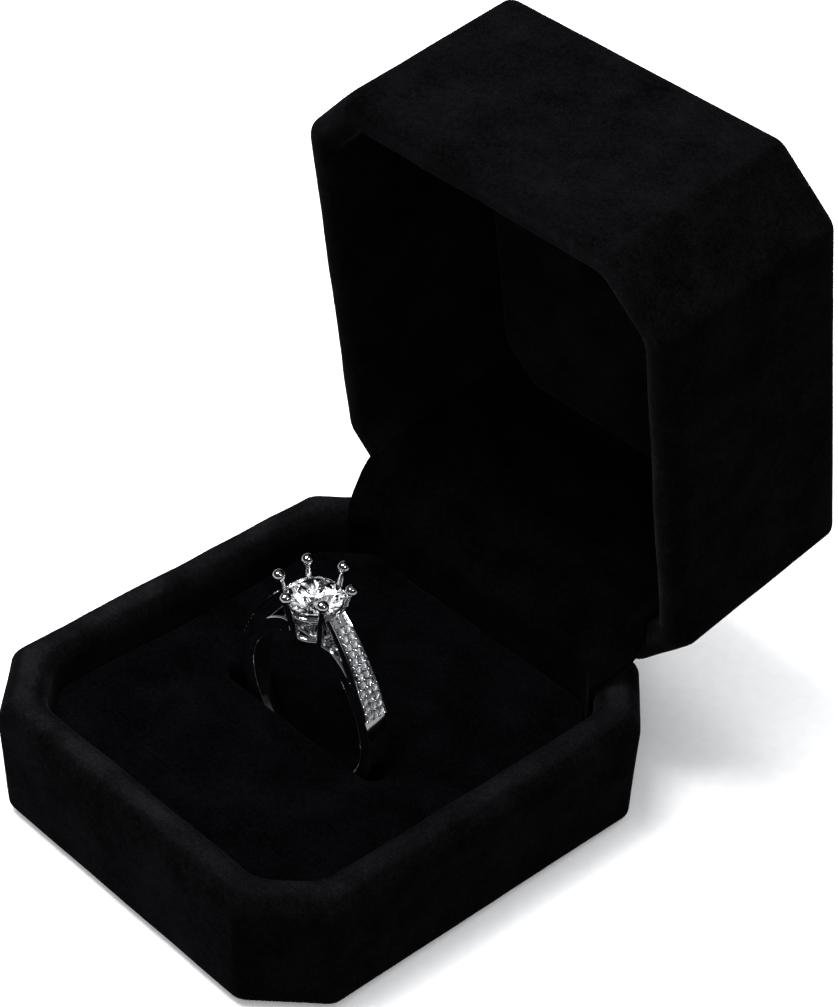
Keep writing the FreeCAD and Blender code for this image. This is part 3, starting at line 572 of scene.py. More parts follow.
def make_base_velvet():
    """The base's velvet: under the foot, up the wall, over the thick rim and down inside."""
    beside_sheet, turned_under, below_pad = 1.6 * MM, 2.6 * MM, 1.5 * MM
    foot_inset = HALF_WIDTH - sheet_high.x - beside_sheet
    foot = base_low.z
    outer_round, inner_round, foot_round = 2.6 * MM, 2.2 * MM, 1.3 * MM
    inner_foot = pad_low.z - below_pad
    profile = straight((foot_inset + turned_under, foot), (foot_inset + foot_round, foot), 0.6 * MM)
    profile += ellipse((foot_inset + foot_round, foot + foot_round), foot_round, foot_round, 270, 180, 6)
    wall_top = (0.0, RIM - outer_round)
    profile = profile[:-1] + straight(profile[-1], wall_top, 0.55 * MM)
    middle = BASE_WALL / 2
    profile += ellipse((middle, RIM - outer_round), middle, outer_round, 180, 90, 10)
    profile += ellipse((middle, RIM - inner_round), BASE_WALL - middle, inner_round, 90, 0, 9)[1:]
    profile += straight(profile[-1], (BASE_WALL, inner_foot), 0.6 * MM)[1:]
    profile.append((BASE_WALL, inner_foot))
    skin = skin_rings(profile + hidden_profile(profile, -SKIN))
    new = solid_from_rings("base_velvet", skin, closed=True)
    thick_part = (RIM - 5 * MM, RIM - 1 * MM)
    soften(
        new, amount=0.11 * MM, size=7.0 * MM, seed=1,
        where=lambda p: 0.35 + 0.65 * ease(p.z, *thick_part),
    )
    rear_window(new, RIM, 1)
    # Weights the painted highlight along the base's rim crest.
    paint_crest_highlight(new, RIM, 0.5 * MM)
    dress(new, OUTER_VELVET, "outer_velvet", "base", "base_velvet_cover", "base_wall_padding")


def make_lid_velvet():
    """The lid's velvet: flat top, crown edge, wall, padded rim and inner wall."""
    crown_round, outer_round, inner_round = 1.7 * MM, 2.5 * MM, 1.6 * MM
    top, rim = lid_high.z, lid_low.z
    ceiling = lining_high.z + 0.1 * MM
    draft = 0.3 * MM
    profile = ellipse((draft + crown_round, top - crown_round), crown_round, crown_round, 90, 180, 8)
    wall_foot = (0.0, rim + outer_round)
    profile = profile[:-1] + straight(profile[-1], wall_foot, 0.6 * MM)
    middle = LID_WALL * 0.54
    profile += ellipse((middle, rim + outer_round), middle, outer_round, 180, 270, 10)
    profile += ellipse((middle, rim + inner_round), LID_WALL - middle, inner_round, 270, 360, 9)[1:]
    profile += straight(profile[-1], (LID_WALL, ceiling), 0.65 * MM)[1:]
    profile.append((LID_WALL, ceiling))
    outside = skin_rings(profile)
    inside = skin_rings(hidden_profile(profile, SKIN))
    cap = crowned_cap(outside[0], top, crown=0.18 * MM, rings=22)
    under = crowned_cap(inside[-1], inside[-1][0].z, crown=0.0, rings=4)
    new = solid_from_rings("lid_velvet", cap[::-1] + outside + inside + under)
    thick_part = (-rim - 4 * MM, -rim - 1 * MM)
    soften(
        new, amount=0.1 * MM, size=7.5 * MM, seed=2,
        where=lambda p: 0.4 + 0.6 * ease(-p.z, *thick_part),
    )
    rear_window(new, rim, -1)
    # Weights the painted highlight along the lid's rim crest, at half strength.
    paint_crest_highlight(new, rim, 0.5 * MM, most=0.5)
    new.data.transform(TO_OPEN)
    dress(new, OUTER_VELVET, "outer_velvet", "lid", "lid_velvet_cover", "lid_wall_padding")


def crowned_cap(loop, height, crown, rings):
    """Loops that shrink towards the middle and rise by crown, from just inside the given loop."""
    centre = sum((p.xy for p in loop), Vector((0, 0))) / len(loop)
    found = []
    for k in range(1, rings + 1):
        scale = 1 - 0.9 * k / rings
        rise = crown * (1 - scale**2)
        found.append(lift([centre + (p.xy - centre) * scale for p in loop], height + rise))
    return found


# ------------ ring pad
SLIT_HALF_LENGTH = 12.6 * MM
SLIT_HALF_WIDTH = 1.55 * MM
SLIT_PINCH = 0.12 * MM
PAD_CORNER_SOFT = 3.8 * MM
PAD_LIP, PAD_EDGE, PAD_CROWN = 0.9 * MM, 1.5 * MM, 0.32 * MM


def slit_point(point, half_width):
    """The point of the slit's outline nearest a point of the pad, with the slit this wide."""
    reach = SLIT_HALF_LENGTH - SLIT_HALF_WIDTH
    nearest = Vector((max(-reach, min(reach, point.x)), RING.y))
    return nearest + (point - nearest).normalized() * half_width


def make_ring_pad():
    """Foam pad under velvet: crowned between the walls, with rolled lips into a deep slit."""
    front_cut = corner_cut_of("ring_pad_cover")
    points = node_points("ring_pad_cover")
    rear_cut = pad_high.x + pad_high.y - max(p.x + p.y for p in points)
    corners = octagon_corners(pad_high.x, pad_low.y, pad_high.y, front_cut, rear_cut)
    outline = rounded_loop(corners, PAD_CORNER_SOFT, side_counts(corners))
    top, skirt = pad_high.z, pad_low.z
    floor = shank_low.z - 0.3 * MM
    slit_steps, lip_steps, top_steps, edge_steps, skirt_steps = 14, 8, 34, 8, 7
    rings = []
    for k in range(slit_steps):
        share = k / slit_steps
        half_width = SLIT_HALF_WIDTH - SLIT_PINCH * math.sin(math.pi * share)
        height = floor + (top - PAD_LIP - floor) * share
        rings.append(lift([slit_point(p, half_width) for p in outline], height))
    for k in range(lip_steps):
        turn = math.pi / 2 * k / lip_steps
        half_width = SLIT_HALF_WIDTH + PAD_LIP * (1 - math.cos(turn))
        height = top - PAD_LIP + PAD_LIP * math.sin(turn)
        rings.append(lift([slit_point(p, half_width) for p in outline], height))
    for k in range(top_steps + 1):
        share = k / top_steps
        loop = [
            slit_point(p, SLIT_HALF_WIDTH + PAD_LIP).lerp(p - p.normalized() * PAD_EDGE, share)
            for p in outline
        ]
        rings.append(lift(loop, top + PAD_CROWN * math.sin(math.pi * share) ** 0.8))
    for k in range(1, edge_steps + 1):
        turn = math.pi / 2 * k / edge_steps
        loop = [p - p.normalized() * PAD_EDGE * (1 - math.sin(turn)) for p in outline]
        rings.append(lift(loop, top - PAD_EDGE * (1 - math.cos(turn))))
    for k in range(1, skirt_steps + 1):
        rings.append(lift(outline, top - PAD_EDGE + (skirt - top + PAD_EDGE) * k / skirt_steps))
    new = solid_from_rings("ring_pad", rings)
    soften(
        new, amount=0.14 * MM, size=6.5 * MM, seed=3,
        where=lambda p: ease(p.z, top - 2.5 * MM, top - 0.5 * MM),
    )
    dress(new, PAD_VELVET, "pad_velvet", "base", "ring_pad_cover", "ring_pad_foam")


# ------------ hinge flap
FLAP_STRAIGHT = 18.0 * MM
FLAP_WING_BASE, FLAP_WING_LID, FLAP_SPREAD = 3.4 * MM, 5.0 * MM, 0.4 * MM
FLAP_THICK = 0.55 * MM
FLAP_INSET = 0.35 * MM
FLAP_PULL = 1.6 * MM
WING_SOFT = 0.8 * MM


def soft_over(value, softness):
    """Value where it is positive, 0 where it is negative, with a rounded change between."""
    return (value + math.sqrt(value * value + softness * softness)) / 2


def flap_rows(foot, bend, start, finish):
    """The strip's middle line from the base's foot to the lid's end.

    Each row is a place, its share of the way from base to lid, and how flat its wings spread.
    """
    lid_way = (finish - start).normalized()
    low_pull = bend + Vector((0.0, 0.0, FLAP_PULL))
    high_pull = start - lid_way * FLAP_PULL
    base_rows, bridge_rows, lid_rows = 18, 24, 30
    rows = [(foot.lerp(bend, k / base_rows), 0.0, 0.0) for k in range(base_rows)]
    for k in range(bridge_rows + 1):
        t = k / bridge_rows
        place = bend * (1 - t) ** 3 + low_pull * 3 * t * (1 - t) ** 2
        place += high_pull * 3 * t * t * (1 - t) + start * t**3
        rows.append((place, ease(t, 0.0, 1.0), math.sin(math.pi * t)))
    rows += [(start.lerp(finish, k / lid_rows), 1.0, 0.0) for k in range(1, lid_rows + 1)]
    return rows


def flap_points(rows, across):
    """Points across every row: straight in the middle, with both ends turned towards the ring."""
    base_wing = Vector((0.0, -1.0, 0.0))
    lid_wing = (ABOUT_HINGE @ base_wing).normalized()
    points = []
    for line, share, spread in rows:
        direction = base_wing.lerp(lid_wing, share).normalized()
        wing = FLAP_WING_BASE + (FLAP_WING_LID - FLAP_WING_BASE) * share + FLAP_SPREAD * spread
        turn = math.radians(45 - 33 * spread)
        half = FLAP_STRAIGHT + wing
        for k in range(across + 1):
            along = -half + 2 * half * k / across
            beyond = soft_over(abs(along) - FLAP_STRAIGHT, WING_SOFT)
            x = math.copysign(abs(along) - beyond * (1 - math.cos(turn)), along)
            points.append(Vector((x, line.y, line.z)) + direction * beyond * math.sin(turn))
    return points


def make_hinge_flap():
    """One velvet strip from the pad's rear edge, over the hinge and up the lid's rear wall."""
    low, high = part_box("hinge_flap_base")
    line = high.y - FLAP_INSET
    foot = Vector((0.0, line, low.z + 1.5 * MM))
    bend = Vector((0.0, line, high.z - 0.3 * MM))
    low, high = shut_box("hinge_flap_lid")
    line = high.y - FLAP_INSET
    start = TO_OPEN @ Vector((0.0, line, low.z - 0.9 * MM))
    finish = TO_OPEN @ Vector((0.0, line, high.z))
    rows = flap_rows(foot, bend, start, finish)
    across = 96
    width = across + 1
    faces = []
    for r in range(len(rows) - 1):
        for k in range(across):
            a = r * width + k
            faces.append((a, a + 1, a + width + 1, a + width))
    new = make_object("hinge_flap", flap_points(rows, across), faces)
    soften(new, amount=0.1 * MM, size=6.0 * MM, seed=4)
    solid = new.modifiers.new("thickness", "SOLIDIFY")
    solid.thickness = FLAP_THICK
    solid.offset = 0.0
    apply_modifiers(new)
    face_outwards(new)
    keep_rest_place(new)
    dress(new, FLAP_VELVET, "lining_velvet", None, "hinge_flap_base", "hinge_flap_lid")
    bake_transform(new)


def apply_modifiers(obj):
    graph = bpy.context.evaluated_depsgraph_get()
    applied = bpy.data.meshes.new_from_object(obj.evaluated_get(graph))
    obj.modifiers.clear()
    obj.data = applied


def keep_rest_place(obj):
    """Stores each point's place, so that a pattern stays on the cloth when the cloth bends."""
    kept = obj.data.attributes.new("rest_place", "FLOAT_VECTOR", "POINT")
    flat = [value for vertex in obj.data.vertices for value in vertex.co]
    kept.data.foreach_set("vector", flat)


# ------------ linings and underside
def make_lid_lining():
    """Padded panel in the lid's ceiling, crowned towards the ring."""
    inset = HALF_WIDTH - lining_high.x
    edge, corner_soft = 1.1 * MM, 2.5 * MM
    rings = [lift(box_loop(inset, corner_soft), lining_high.z)]
    for k in range(9):
        turn = math.pi / 2 * k / 8
        loop = box_loop(inset + edge * (1 - math.cos(turn)), corner_soft)
        rings.append(lift(loop, lining_low.z + edge * (1 - math.sin(turn))))
    rings += crowned_cap(rings[-1], lining_low.z, crown=-0.35 * MM, rings=24)
    new = solid_from_rings("lid_lining", rings)
    soften(new, amount=0.08 * MM, size=8.0 * MM, seed=5)
    new.data.transform(TO_OPEN)
    dress(new, LINING_VELVET, "lining_velvet", "lid", "lid_top_lining")


def make_bottom_sheet():
    """Thin felt sheet that closes the foot, with a soft edge."""
    inset = HALF_WIDTH - sheet_high.x
    thick = sheet_high.z - sheet_low.z
    rings = []
    for share, out in ((1.0, 0.5), (0.85, 0.1), (0.5, 0.0), (0.15, 0.1), (0.0, 0.5)):
        rings.append(lift(box_loop(inset + out * thick, 1.5 * MM), sheet_low.z + thick * share))
    rings += crowned_cap(rings[-1], sheet_low.z, crown=0.0, rings=12)
    new = solid_from_rings("bottom_sheet", rings)
    dress(new, FELT, "felt", "base", "base_bottom_sheet")


# ------------ ring
BAND_THICK = 1.8 * MM
BAND_INNER = BAND_OUTER - BAND_THICK
BAND_WIDE = shank_high.y - shank_low.y
BAND_SLIM = 2.2 * MM
SHOULDER_WIDE, SHOULDER_SLIM = 3.0 * MM, 2.2 * MM
SHOULDER_LOW, SHOULDER_HIGH = math.radians(22.8), math.radians(73.5)
SHOULDER_START, SHOULDER_RISE, SHOULDER_THICK = 11.0 * MM, 3.4 * MM, 1.6 * MM
TAPER_FROM, TAPER_TO = 7.0 * MM, 15.0 * MM


def lathe(bm, profile, place, segments):
    """Adds a turned form to bm: profile is (radius, height) along local +Z, place a matrix."""
    rings = []
    for radius, height in profile:
        count = segments if radius > 1e-7 else 1
        ring = []
        for k in range(count):
            turn = math.tau * k / count
            ring.append(bm.verts.new(place @ polar(radius, turn, height)))
        rings.append(ring)
    for low, high in zip(rings, rings[1:]):
        for k in range(segments):
            on = k + 1
            around = (low[k % len(low)], low[on % len(low)], high[on % len(high)], high[k % len(high)])
            corners = list(dict.fromkeys(around))
            if len(corners) > 2:
                bm.faces.new(corners)
    for ring in (rings[0], rings[-1]):
        if len(ring) > 1:
            bm.faces.new(ring)


def band_section(half, thin, thick):
    """Rounded rectangle across the band: (across, outwards) with soft outside corners."""
    soft = 0.22 * MM
    inner = 0.35 * MM
    section = []
    for cx, cy, radius, start in (
        (half - soft, thick - soft, soft, 0),
        (-half + soft, thick - soft, soft, 90),
        (-half + inner, thin + inner, inner, 180),
        (half - inner, thin + inner, inner, 270),
    ):
        for k in range(5):
            turn = math.radians(start + 90 * k / 4)
            section.append((cx + radius * math.cos(turn), cy + radius * math.sin(turn)))
    return section


def add_sweep(bm, stations, closed):
    """Adds a tube through stations, each a list of points; open ends are filled."""
    rings = [[bm.verts.new(p) for p in station] for station in stations]
    count = len(rings[0])
    pairs = list(zip(rings, rings[1:]))
    if closed:
        pairs.append((rings[-1], rings[0]))
    for low, high in pairs:
        for k in range(count):
            bm.faces.new((low[k], low[(k + 1) % count], high[(k + 1) % count], high[k]))
    if not closed:
        bm.faces.new(rings[0])
        bm.faces.new(rings[-1])


def band_stations():
    """The full circle of the band, widest at the shoulders' feet and thinner under the head.

    Where each change starts and ends is given as the sine of the place's angle round the band.
    """
    stations = []
    steps = 144
    bridge_drop = 0.6 * MM
    for k in range(steps):
        turn = math.tau * k / steps
        up = math.sin(turn)
        wide = BAND_SLIM + (BAND_WIDE - BAND_SLIM) * ease(up, -0.55, 0.33)
        wide -= (BAND_WIDE - SHOULDER_SLIM) * ease(up, 0.55, 0.95)
        outer = BAND_OUTER - bridge_drop * ease(up, 0.93, 0.985)
        out = Vector((math.cos(turn), 0.0, up))
        section = band_section(wide / 2, BAND_INNER, outer)
        stations.append([RING + out * r + Vector((0.0, w, 0.0)) for w, r in section])
    return stations


def shoulder_path(side, share):
    """Point, outward normal and direction on a shoulder's outside; share runs from foot to head."""
    def spot(t):
        turn = SHOULDER_LOW + (SHOULDER_HIGH - SHOULDER_LOW) * t
        radius = SHOULDER_START + SHOULDER_RISE * t * t
        return Vector((side * radius * math.cos(turn), 0.0, radius * math.sin(turn)))
    step = 0.002
    here = spot(share)
    along = (spot(share + step) - spot(share - step)).normalized()
    out = Vector((side * along.z, 0.0, -along.x * side))
    return RING + here, out, along


def shoulder_width(height):
    """Width of a shoulder at a height above the ring's centre."""
    share = min(1.0, max(0.0, (height - TAPER_FROM) / (TAPER_TO - TAPER_FROM)))
    return SHOULDER_WIDE - (SHOULDER_WIDE - SHOULDER_SLIM) * share


def shoulder_section(half, thick):
    """Across a shoulder: a raised rail at each edge, the sunk bed of the stones between."""
    rail, height, soft = 0.2 * MM, 0.12 * MM, 0.05 * MM
    bed = -0.1 * MM
    right = [
        (0.0, bed),
        (half - rail - soft, bed),
        (half - rail, bed + soft),
        (half - rail + soft * 0.5, height - soft * 0.5),
        (half - rail * 0.5, height),
        (half - soft * 0.5, height - soft * 0.6),
        (half, height - soft * 2.4),
        (half + 0.02 * MM, -0.3 * thick),
        (half - 0.1 * MM, -0.8 * thick),
        (half - 0.45 * MM, -thick),
        (0.0, -thick),
    ]
    left = [(-across, up) for across, up in reversed(right[1:-1])]
    return right + left


def make_ring_shank():
    """Band, bridge under the head and two shoulders with railed edges."""
    bm = bmesh.new()
    add_sweep(bm, band_stations(), closed=True)
    steps, last_share = 44, 1.05
    for side in (1, -1):
        stations = []
        for k in range(steps + 1):
            share = last_share * k / steps
            here, out = shoulder_path(side, share)[:2]
            width = shoulder_width(here.z - RING.z)
            thick = SHOULDER_THICK * (0.4 + 0.6 * ease(share, 0.0, 0.25))
            across = Vector((0.0, 1.0, 0.0))
            stations.append([here + across * a + out * o for a, o in shoulder_section(width / 2, thick)])
        add_sweep(bm, stations, closed=False)
        add_end_bar(bm, *shoulder_path(side, 0.0), SHOULDER_WIDE / 2)
    dress(from_bmesh("ring_band", bm, smooth_angle=40), RING_METAL, "ring_metal", "ring", "ring_shank")


def add_end_bar(bm, here, out, along, half):
    """The polished bar that closes the lower end of a row of stones, a little slimmer at its ends."""
    stations = []
    steps, sides = 12, 10
    height, thick = 0.13 * MM, 0.08 * MM
    for k in range(steps + 1):
        reach = 2 * k / steps - 1
        full = 1 - 0.35 * abs(reach) ** 6
        centre = here + Vector((0.0, half * reach, 0.0))
        loop = []
        for n in range(sides):
            turn = math.tau * n / sides
            loop.append(centre + out * height * full * math.sin(turn) + along * thick * full * math.cos(turn))
        stations.append(loop)
    add_sweep(bm, stations, closed=False)


HEAD_PRONGS = 6
PRONG_FOOT, PRONG_LOW, PRONG_TOP, PRONG_FLARE = 2.64 * MM, 10.4 * MM, 16.7 * MM, 0.237
PRONG_WIRE = 0.45 * MM
BEAD = 0.7 * MM
NECK = 0.75 * MM
GALLERY_WIRE = 0.34 * MM
GALLERIES = ((2.98 * MM, 13.85 * MM), (2.5 * MM, 10.65 * MM))


def prong_profile(length):
    """A round wire that thins a little upwards and ends in a ball, as (radius, height)."""
    profile = [(0.0, -0.12 * MM), (0.6 * PRONG_WIRE, -0.1 * MM), (0.9 * PRONG_WIRE, 0.0)]
    for k in range(1, 9):
        profile.append((PRONG_WIRE * (1 - 0.12 * k / 8), (length - NECK) * k / 8))
    for k in range(13):
        turn = math.radians(-52 + 142 * k / 12)
        profile.append((BEAD * math.cos(turn), length + BEAD * math.sin(turn)))
    return profile


def gallery_stations(radius, up):
    """A ring of round wire that ties the prongs together at one height."""
    stations = []
    steps, sides = 72, 14
    for k in range(steps):
        turn = math.tau * k / steps
        out = polar(1.0, turn, 0.0)
        centre = RING + out * radius + Vector((0.0, 0.0, up))
        loop = []
        for n in range(sides):
            about = math.tau * n / sides
            rise = Vector((0.0, 0.0, GALLERY_WIRE * math.sin(about)))
            loop.append(centre + out * GALLERY_WIRE * math.cos(about) + rise)
        stations.append(loop)
    return stations


def make_ring_head():
    """Six flared prongs with ball tips on two wire rails."""
    bm = bmesh.new()
    length = (PRONG_TOP - PRONG_LOW) * math.hypot(1, PRONG_FLARE)
    lean = Matrix.Rotation(math.atan(PRONG_FLARE), 4, "Y")
    foot = Matrix.Translation((PRONG_FOOT, 0.0, PRONG_LOW))
    for number in range(HEAD_PRONGS):
        about = Matrix.Rotation(math.tau * (number + 0.5) / HEAD_PRONGS, 4, "Z")
        lathe(bm, prong_profile(length), Matrix.Translation(RING) @ about @ foot @ lean, 20)
    for radius, up in GALLERIES:
        add_sweep(bm, gallery_stations(radius, up), closed=True)
    dress(from_bmesh("ring_head_prongs", bm, smooth_angle=50), RING_METAL, "ring_metal", "ring", "ring_head")


def cut_planes(table, crown, depth, girdle, fold):
    """Facet planes of a round brilliant of radius 1: (point, outward normal) pairs.

    Upper points lie between table and girdle, lower points between culet and girdle.
    """
    half_step = math.pi / fold
    upper_share, low = 0.52, 0.24
    middle = table + upper_share * (1 - table)
    middle_up = girdle + crown * (1 - middle * math.cos(half_step)) / (1 - table)
    low_down = -girdle - depth * (1 - low * math.cos(half_step))

    def plane(a, b, c):
        normal = (b - a).cross(c - a).normalized()
        inside = Vector((0.0, 0.0, (crown - depth) / 3))
        return a, normal if normal.dot(a - inside) > 0 else -normal

    planes = [(Vector((0.0, 0.0, girdle + crown)), Vector((0.0, 0.0, 1.0)))]
    culet = Vector((0.0, 0.0, -girdle - depth))
    for k in range(fold):
        turn = math.tau * k / fold
        top = polar(table, turn, girdle + crown)
        next_top = polar(table, turn + 2 * half_step, girdle + crown)
        upper = polar(middle, turn + half_step, middle_up)
        upper_before = polar(middle, turn - half_step, middle_up)
        lower = polar(low, turn + half_step, low_down)
        lower_before = polar(low, turn - half_step, low_down)
        planes.append(plane(top, upper_before, upper))
        planes.append(plane(culet, lower_before, lower))
        planes.append(plane(top, next_top, upper))
        edge_up = [polar(1, turn + n * half_step, girdle) for n in range(3)]
        edge_down = [polar(1, turn + n * half_step, -girdle) for n in range(3)]
        for n in range(2):
            planes.append(plane(upper, edge_up[n], edge_up[n + 1]))
            planes.append(plane(lower, edge_down[n], edge_down[n + 1]))
    return planes


def gem_mesh(segments, **proportions):
    """A cut stone of radius 1: a turned blank from which every facet is sliced."""
    planes = cut_planes(**proportions)
    bm = bmesh.new()
    bmesh.ops.create_cone(
        bm, cap_ends=True, segments=segments, radius1=1.0, radius2=1.0, depth=3.0
    )
    for point, normal in planes:
        done = bmesh.ops.bisect_plane(
            bm, geom=bm.verts[:] + bm.edges[:] + bm.faces[:], dist=1e-5,
            plane_co=point, plane_no=normal, clear_outer=True,
        )
        rim = [e for e in done["geom_cut"] if isinstance(e, bmesh.types.BMEdge)]
        if len(rim) > 2:
            bmesh.ops.edgeloop_fill(bm, edges=rim)
    bmesh.ops.remove_doubles(bm, verts=bm.verts[:], dist=1e-4)
    return bm


def make_centre_stone():
    radius = (stone_high.x - stone_low.x) / 2
    crown, girdle = 0.32, 0.022
    bm = gem_mesh(96, table=0.56, crown=crown, depth=0.84, girdle=girdle, fold=8)
    bmesh.ops.scale(bm, vec=(radius, radius, radius), verts=bm.verts[:])
    centre = (stone_low + stone_high) / 2
    centre.z = stone_high.z - (crown + girdle) * radius
    bmesh.ops.rotate(bm, matrix=Matrix.Rotation(math.radians(11), 3, "Z"), verts=bm.verts[:])
    bmesh.ops.translate(bm, vec=centre, verts=bm.verts[:])
    dress(from_bmesh("solitaire_stone", bm), STONE, "stone", "ring", "centre_stone")


def loose_parts(node):
    """Point lists of a CAD node's separate solids."""
    mesh = frame["nodes"][node].data
    parent = list(range(len(mesh.vertices)))

    def root(k):
        while parent[k] != k:
            parent[k] = parent[parent[k]]
            k = parent[k]
        return k

    by_place = {}
    for vertex in mesh.vertices:
        key = tuple(round(c * 1e7) for c in vertex.co)
        if key in by_place:
            parent[root(vertex.index)] = root(by_place[key])
        by_place[key] = vertex.index
    for edge in mesh.edges:
        parent[root(edge.vertices[0])] = root(edge.vertices[1])
    groups = {}
    for vertex in mesh.vertices:
        groups.setdefault(root(vertex.index), []).append(vertex.co.copy())
    return list(groups.values())


def pave_seats():
    """Middle, outward and upward-along direction of each small stone that the frame holds."""
    seats = []
    tries = 200
    for points in loose_parts("pave_stones"):
        centre = sum(points, Vector()) / len(points)
        side = 1 if centre.x > RING.x else -1
        here, out, along = min(
            (shoulder_path(side, k / tries) for k in range(tries + 1)),
            key=lambda place: math.hypot(place[0].x - centre.x, place[0].z - centre.z),
        )
        seats.append((Vector((here.x, centre.y, here.z)), out, along))
    return seats


def upright_on(out, along):
    """A turn that puts local +Z along out and local +X along the shoulder."""
    return Matrix((along, out.cross(along), out)).transposed().to_4x4()


PAVE_RADIUS = 0.405 * MM
PAVE_PITCH, PAVE_ROW = 0.9 * MM, 0.86 * MM
PAVE_LIFT, BEAD_LIFT, RAIL_KEEP = 0.05 * MM, 0.07 * MM, 0.18 * MM
PAVE_BEAD = 0.14 * MM


def make_pave_stones(seats):
    """Small cut stones in the shoulders, each spun a little on from the one before."""
    stone = gem_mesh(24, table=0.58, crown=0.3, depth=0.8, girdle=0.03, fold=6)
    template = bpy.data.meshes.new("pave_template")
    pour(stone, template)
    bm = bmesh.new()
    for number, (seat, out, along) in enumerate(seats):
        spin = Matrix.Rotation(number * 0.7, 4, "Z")
        place = Matrix.Translation(seat + out * PAVE_LIFT) @ upright_on(out, along) @ spin
        before = len(bm.verts)
        bm.from_mesh(template)
        bm.verts.ensure_lookup_table()
        bmesh.ops.transform(bm, matrix=place @ Matrix.Scale(PAVE_RADIUS, 4), verts=bm.verts[before:])
    dress(from_bmesh("pave_small_stones", bm), STONE, "stone", "ring", "pave_stones")


def make_pave_beads(seats):
    """Beads of metal at the corners of every stone, and two rows more above the highest stones."""
    dome = [math.radians(angle) for angle in (-30, 0, 25, 50, 75)]
    profile = [(0.0, -0.1 * MM)]
    profile += [(PAVE_BEAD * math.cos(turn), PAVE_BEAD * math.sin(turn)) for turn in dome]
    profile.append((0.0, PAVE_BEAD))
    highest = max(seat.z for seat, out, along in seats)
    beads = bmesh.new()
    for seat, out, along in seats:
        ranks = (-0.5, 0.5, 1.05, 1.6) if seat.z > highest - 0.1 * MM else (-0.5, 0.5)
        for ahead in ranks:
            for beside in (-0.5, 0.5):
                spot = seat + along * PAVE_PITCH * ahead
                spot += Vector((0.0, PAVE_ROW * beside, 0.0)) + out * BEAD_LIFT
                limit = shoulder_width(spot.z - RING.z) / 2 - RAIL_KEEP
                if abs(spot.y - RING.y) > limit:
                    spot.y = RING.y + math.copysign(limit, spot.y - RING.y)
                lathe(beads, profile, Matrix.Translation(spot) @ upright_on(out, along), 10)
    dress(from_bmesh("pave_beads", beads, smooth_angle=60), RING_METAL, "ring_metal", "ring")


# ------------ CAD nodes that stay
KEPT_NODES = {
    "base_shell": SHELL_PLASTIC,
    "lid_shell": SHELL_PLASTIC,
    "pad_card": PAD_CARD,
    "hinge_base_leaf": HINGE_STEEL,
    "hinge_lid_leaf": HINGE_STEEL,
    "hinge_pin": HINGE_STEEL,
    "hinge_spring": SPRING_STEEL,
    "base_rivets": HINGE_STEEL,
    "lid_rivets": HINGE_STEEL,
}


def dress_kept_nodes():
    for name, material in KEPT_NODES.items():
        node = frame["nodes"][name]
        if not node.material_slots:
            node.data.materials.append(None)
        for slot in node.material_slots:
            slot.link = "OBJECT"
            slot.material = material


# ------------ studio
VIEW_AZIMUTH, VIEW_ELEVATION, VIEW_ROLL = map(math.radians, (46.14, 37.471, 1.937))
CAMERA_PLACE = Vector((197.12, -175.5, 243.32)) * MM
LENS = 111.51


def make_camera():
    data = bpy.data.cameras.new("camera")
    data.lens = LENS
    data.sensor_width = 36.0
    data.clip_start = 0.01
    data.clip_end = 20.0
    camera = link_new("camera", data)
    back = Vector((
        math.sin(VIEW_AZIMUTH) * math.cos(VIEW_ELEVATION),
        -math.cos(VIEW_AZIMUTH) * math.cos(VIEW_ELEVATION),
        math.sin(VIEW_ELEVATION),
    ))
    right = (-back).cross(Vector((0.0, 0.0, 1.0))).normalized()
    up = right.cross(-back)
    across = right * math.cos(VIEW_ROLL) + up * math.sin(VIEW_ROLL)
    upward = up * math.cos(VIEW_ROLL) - right * math.sin(VIEW_ROLL)
    turn = Matrix((across, upward, back)).transposed().to_4x4()
    camera.matrix_world = Matrix.Translation(CAMERA_PLACE) @ turn
    bpy.context.scene.camera = camera


def add_area_light(name, place, size, power, lit=True, mirrored=True):
    """A softbox aimed at the box: lit lights cloth and floor, mirrored is seen in metal and stone."""
    target = Vector((0.0, 0.0, 0.03))
    data = bpy.data.lights.new(name, "AREA")
    data.shape = "RECTANGLE"
    data.size, data.size_y = size
    data.energy = power
    light = link_new(name, data)
    light.location = place
    light.rotation_mode = "QUATERNION"
    light.rotation_quaternion = (target - Vector(place)).to_track_quat("-Z", "Y")
    light.visible_camera = False
    light.visible_diffuse = lit
    light.visible_glossy = mirrored
    light.visible_transmission = mirrored


def make_floor():
    """Pale paper; other pieces see it darker, so that it throws little light up at the box."""
    material, tree, shader = new_material("pale_floor")
    paper = noise_socket(tree, place_socket(tree), 1.5 * MM)
    seen = ramp_socket(tree, paper, [(0.3, (0.86, 0.86, 0.86)), (0.7, (0.9, 0.9, 0.9))])
    direct = add_node(tree, "ShaderNodeLightPath").outputs["Is Camera Ray"]
    first_colour, second_colour, mixed_colour = 6, 7, 2
    shade = add_node(
        tree, "ShaderNodeMix",
        {"Factor": direct, first_colour: (0.18, 0.18, 0.18, 1.0), second_colour: seen},
        data_type="RGBA",
    ).outputs[mixed_colour]
    fill_inputs(tree, shader, {"Base Color": shade, "Roughness": 0.9})
    half = 3.0
    points = [(-half, -half, 0.0), (half, -half, 0.0), (half, half, 0.0), (-half, half, 0.0)]
    floor = make_object("floor", points, [(0, 1, 2, 3)], smooth=False)
    floor.data.materials.append(material)


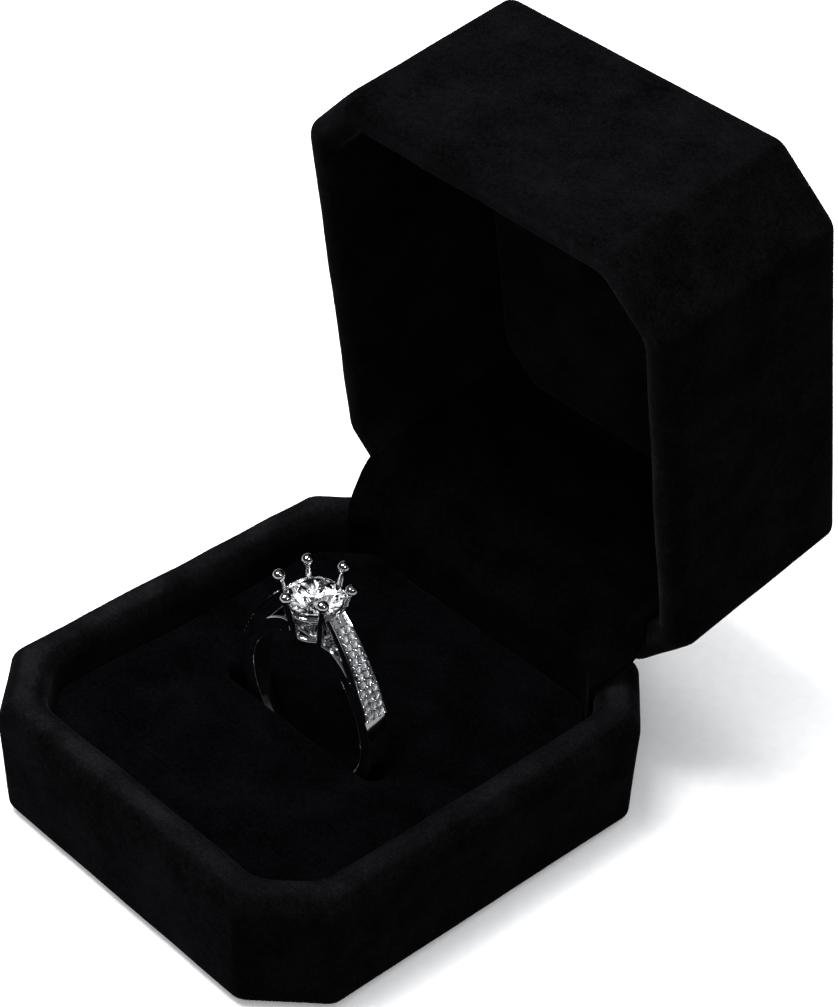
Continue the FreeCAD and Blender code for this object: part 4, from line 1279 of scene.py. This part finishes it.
def make_world():
    """Sky that lights cloth, a dark room for metal to mirror, and patchy panes behind the stones."""
    world = bpy.data.worlds.new("studio")
    world.use_nodes = True
    tree = world.node_tree
    place = add_node(tree, "ShaderNodeTexCoord").outputs["Generated"]
    height = add_node(tree, "ShaderNodeSeparateXYZ", {"Vector": place}).outputs["Z"]
    open_sky = range_socket(tree, height, 0.16, 1.25, 0.0, 1.0)
    dark_room = range_socket(tree, height, 0.012, 0.12, 0.3, 1.0)
    reflector = (math.sin(VIEW_AZIMUTH) * 0.6, -math.cos(VIEW_AZIMUTH) * 0.6, 0.8)
    towards = add_node(
        tree, "ShaderNodeVectorMath", {0: place, 1: reflector}, operation="DOT_PRODUCT"
    ).outputs["Value"]
    bright = range_socket(tree, towards, 0.04, 2.4, 0.1, 0.95)
    panes = noise_socket(tree, place, 0.35, detail=1.0)
    through = maths_socket(tree, "MULTIPLY", bright, range_socket(tree, panes, 0.12, 1.3, 0.42, 0.58))
    path = add_node(tree, "ShaderNodeLightPath")
    strength = blend_socket(tree, open_sky, dark_room, path.outputs["Is Glossy Ray"])
    strength = blend_socket(tree, strength, through, path.outputs["Is Transmission Ray"])
    strength = blend_socket(tree, strength, 1.0, path.outputs["Is Camera Ray"])
    fill_inputs(tree, tree.nodes["Background"], {"Color": (0.96, 0.97, 1.0, 1.0), "Strength": strength})
    bpy.context.scene.world = world


def make_studio():
    make_floor()
    make_world()
    add_area_light("key", (-0.08, -0.08, 0.45), (0.2, 0.2), 2.6, mirrored=False)
    add_area_light("side", (0.35, -0.3, 0.3), (0.15, 0.3), 1.1, mirrored=False)
    add_area_light("rim", (-0.3, 0.3, 0.4), (0.25, 0.15), 1.2, mirrored=False)
    add_area_light("window", (-0.12, -0.2, 0.45), (0.12, 0.16), 3.6, lit=False)
    add_area_light("strip", (0.3, 0.23, 0.17), (0.05, 0.26), 0.007, lit=False)
    add_area_light("glint", (0.3, -0.04, 0.29), (0.05, 0.05), 0.35, lit=False)
    bpy.context.scene.view_settings.view_transform = "Standard"
    make_camera()


make_base_velvet()
make_lid_velvet()
make_ring_pad()
make_hinge_flap()
make_lid_lining()
make_bottom_sheet()
make_ring_shank()
make_ring_head()
make_centre_stone()
PAVE_SEATS = pave_seats()
make_pave_stones(PAVE_SEATS)
make_pave_beads(PAVE_SEATS)
dress_kept_nodes()
make_studio()
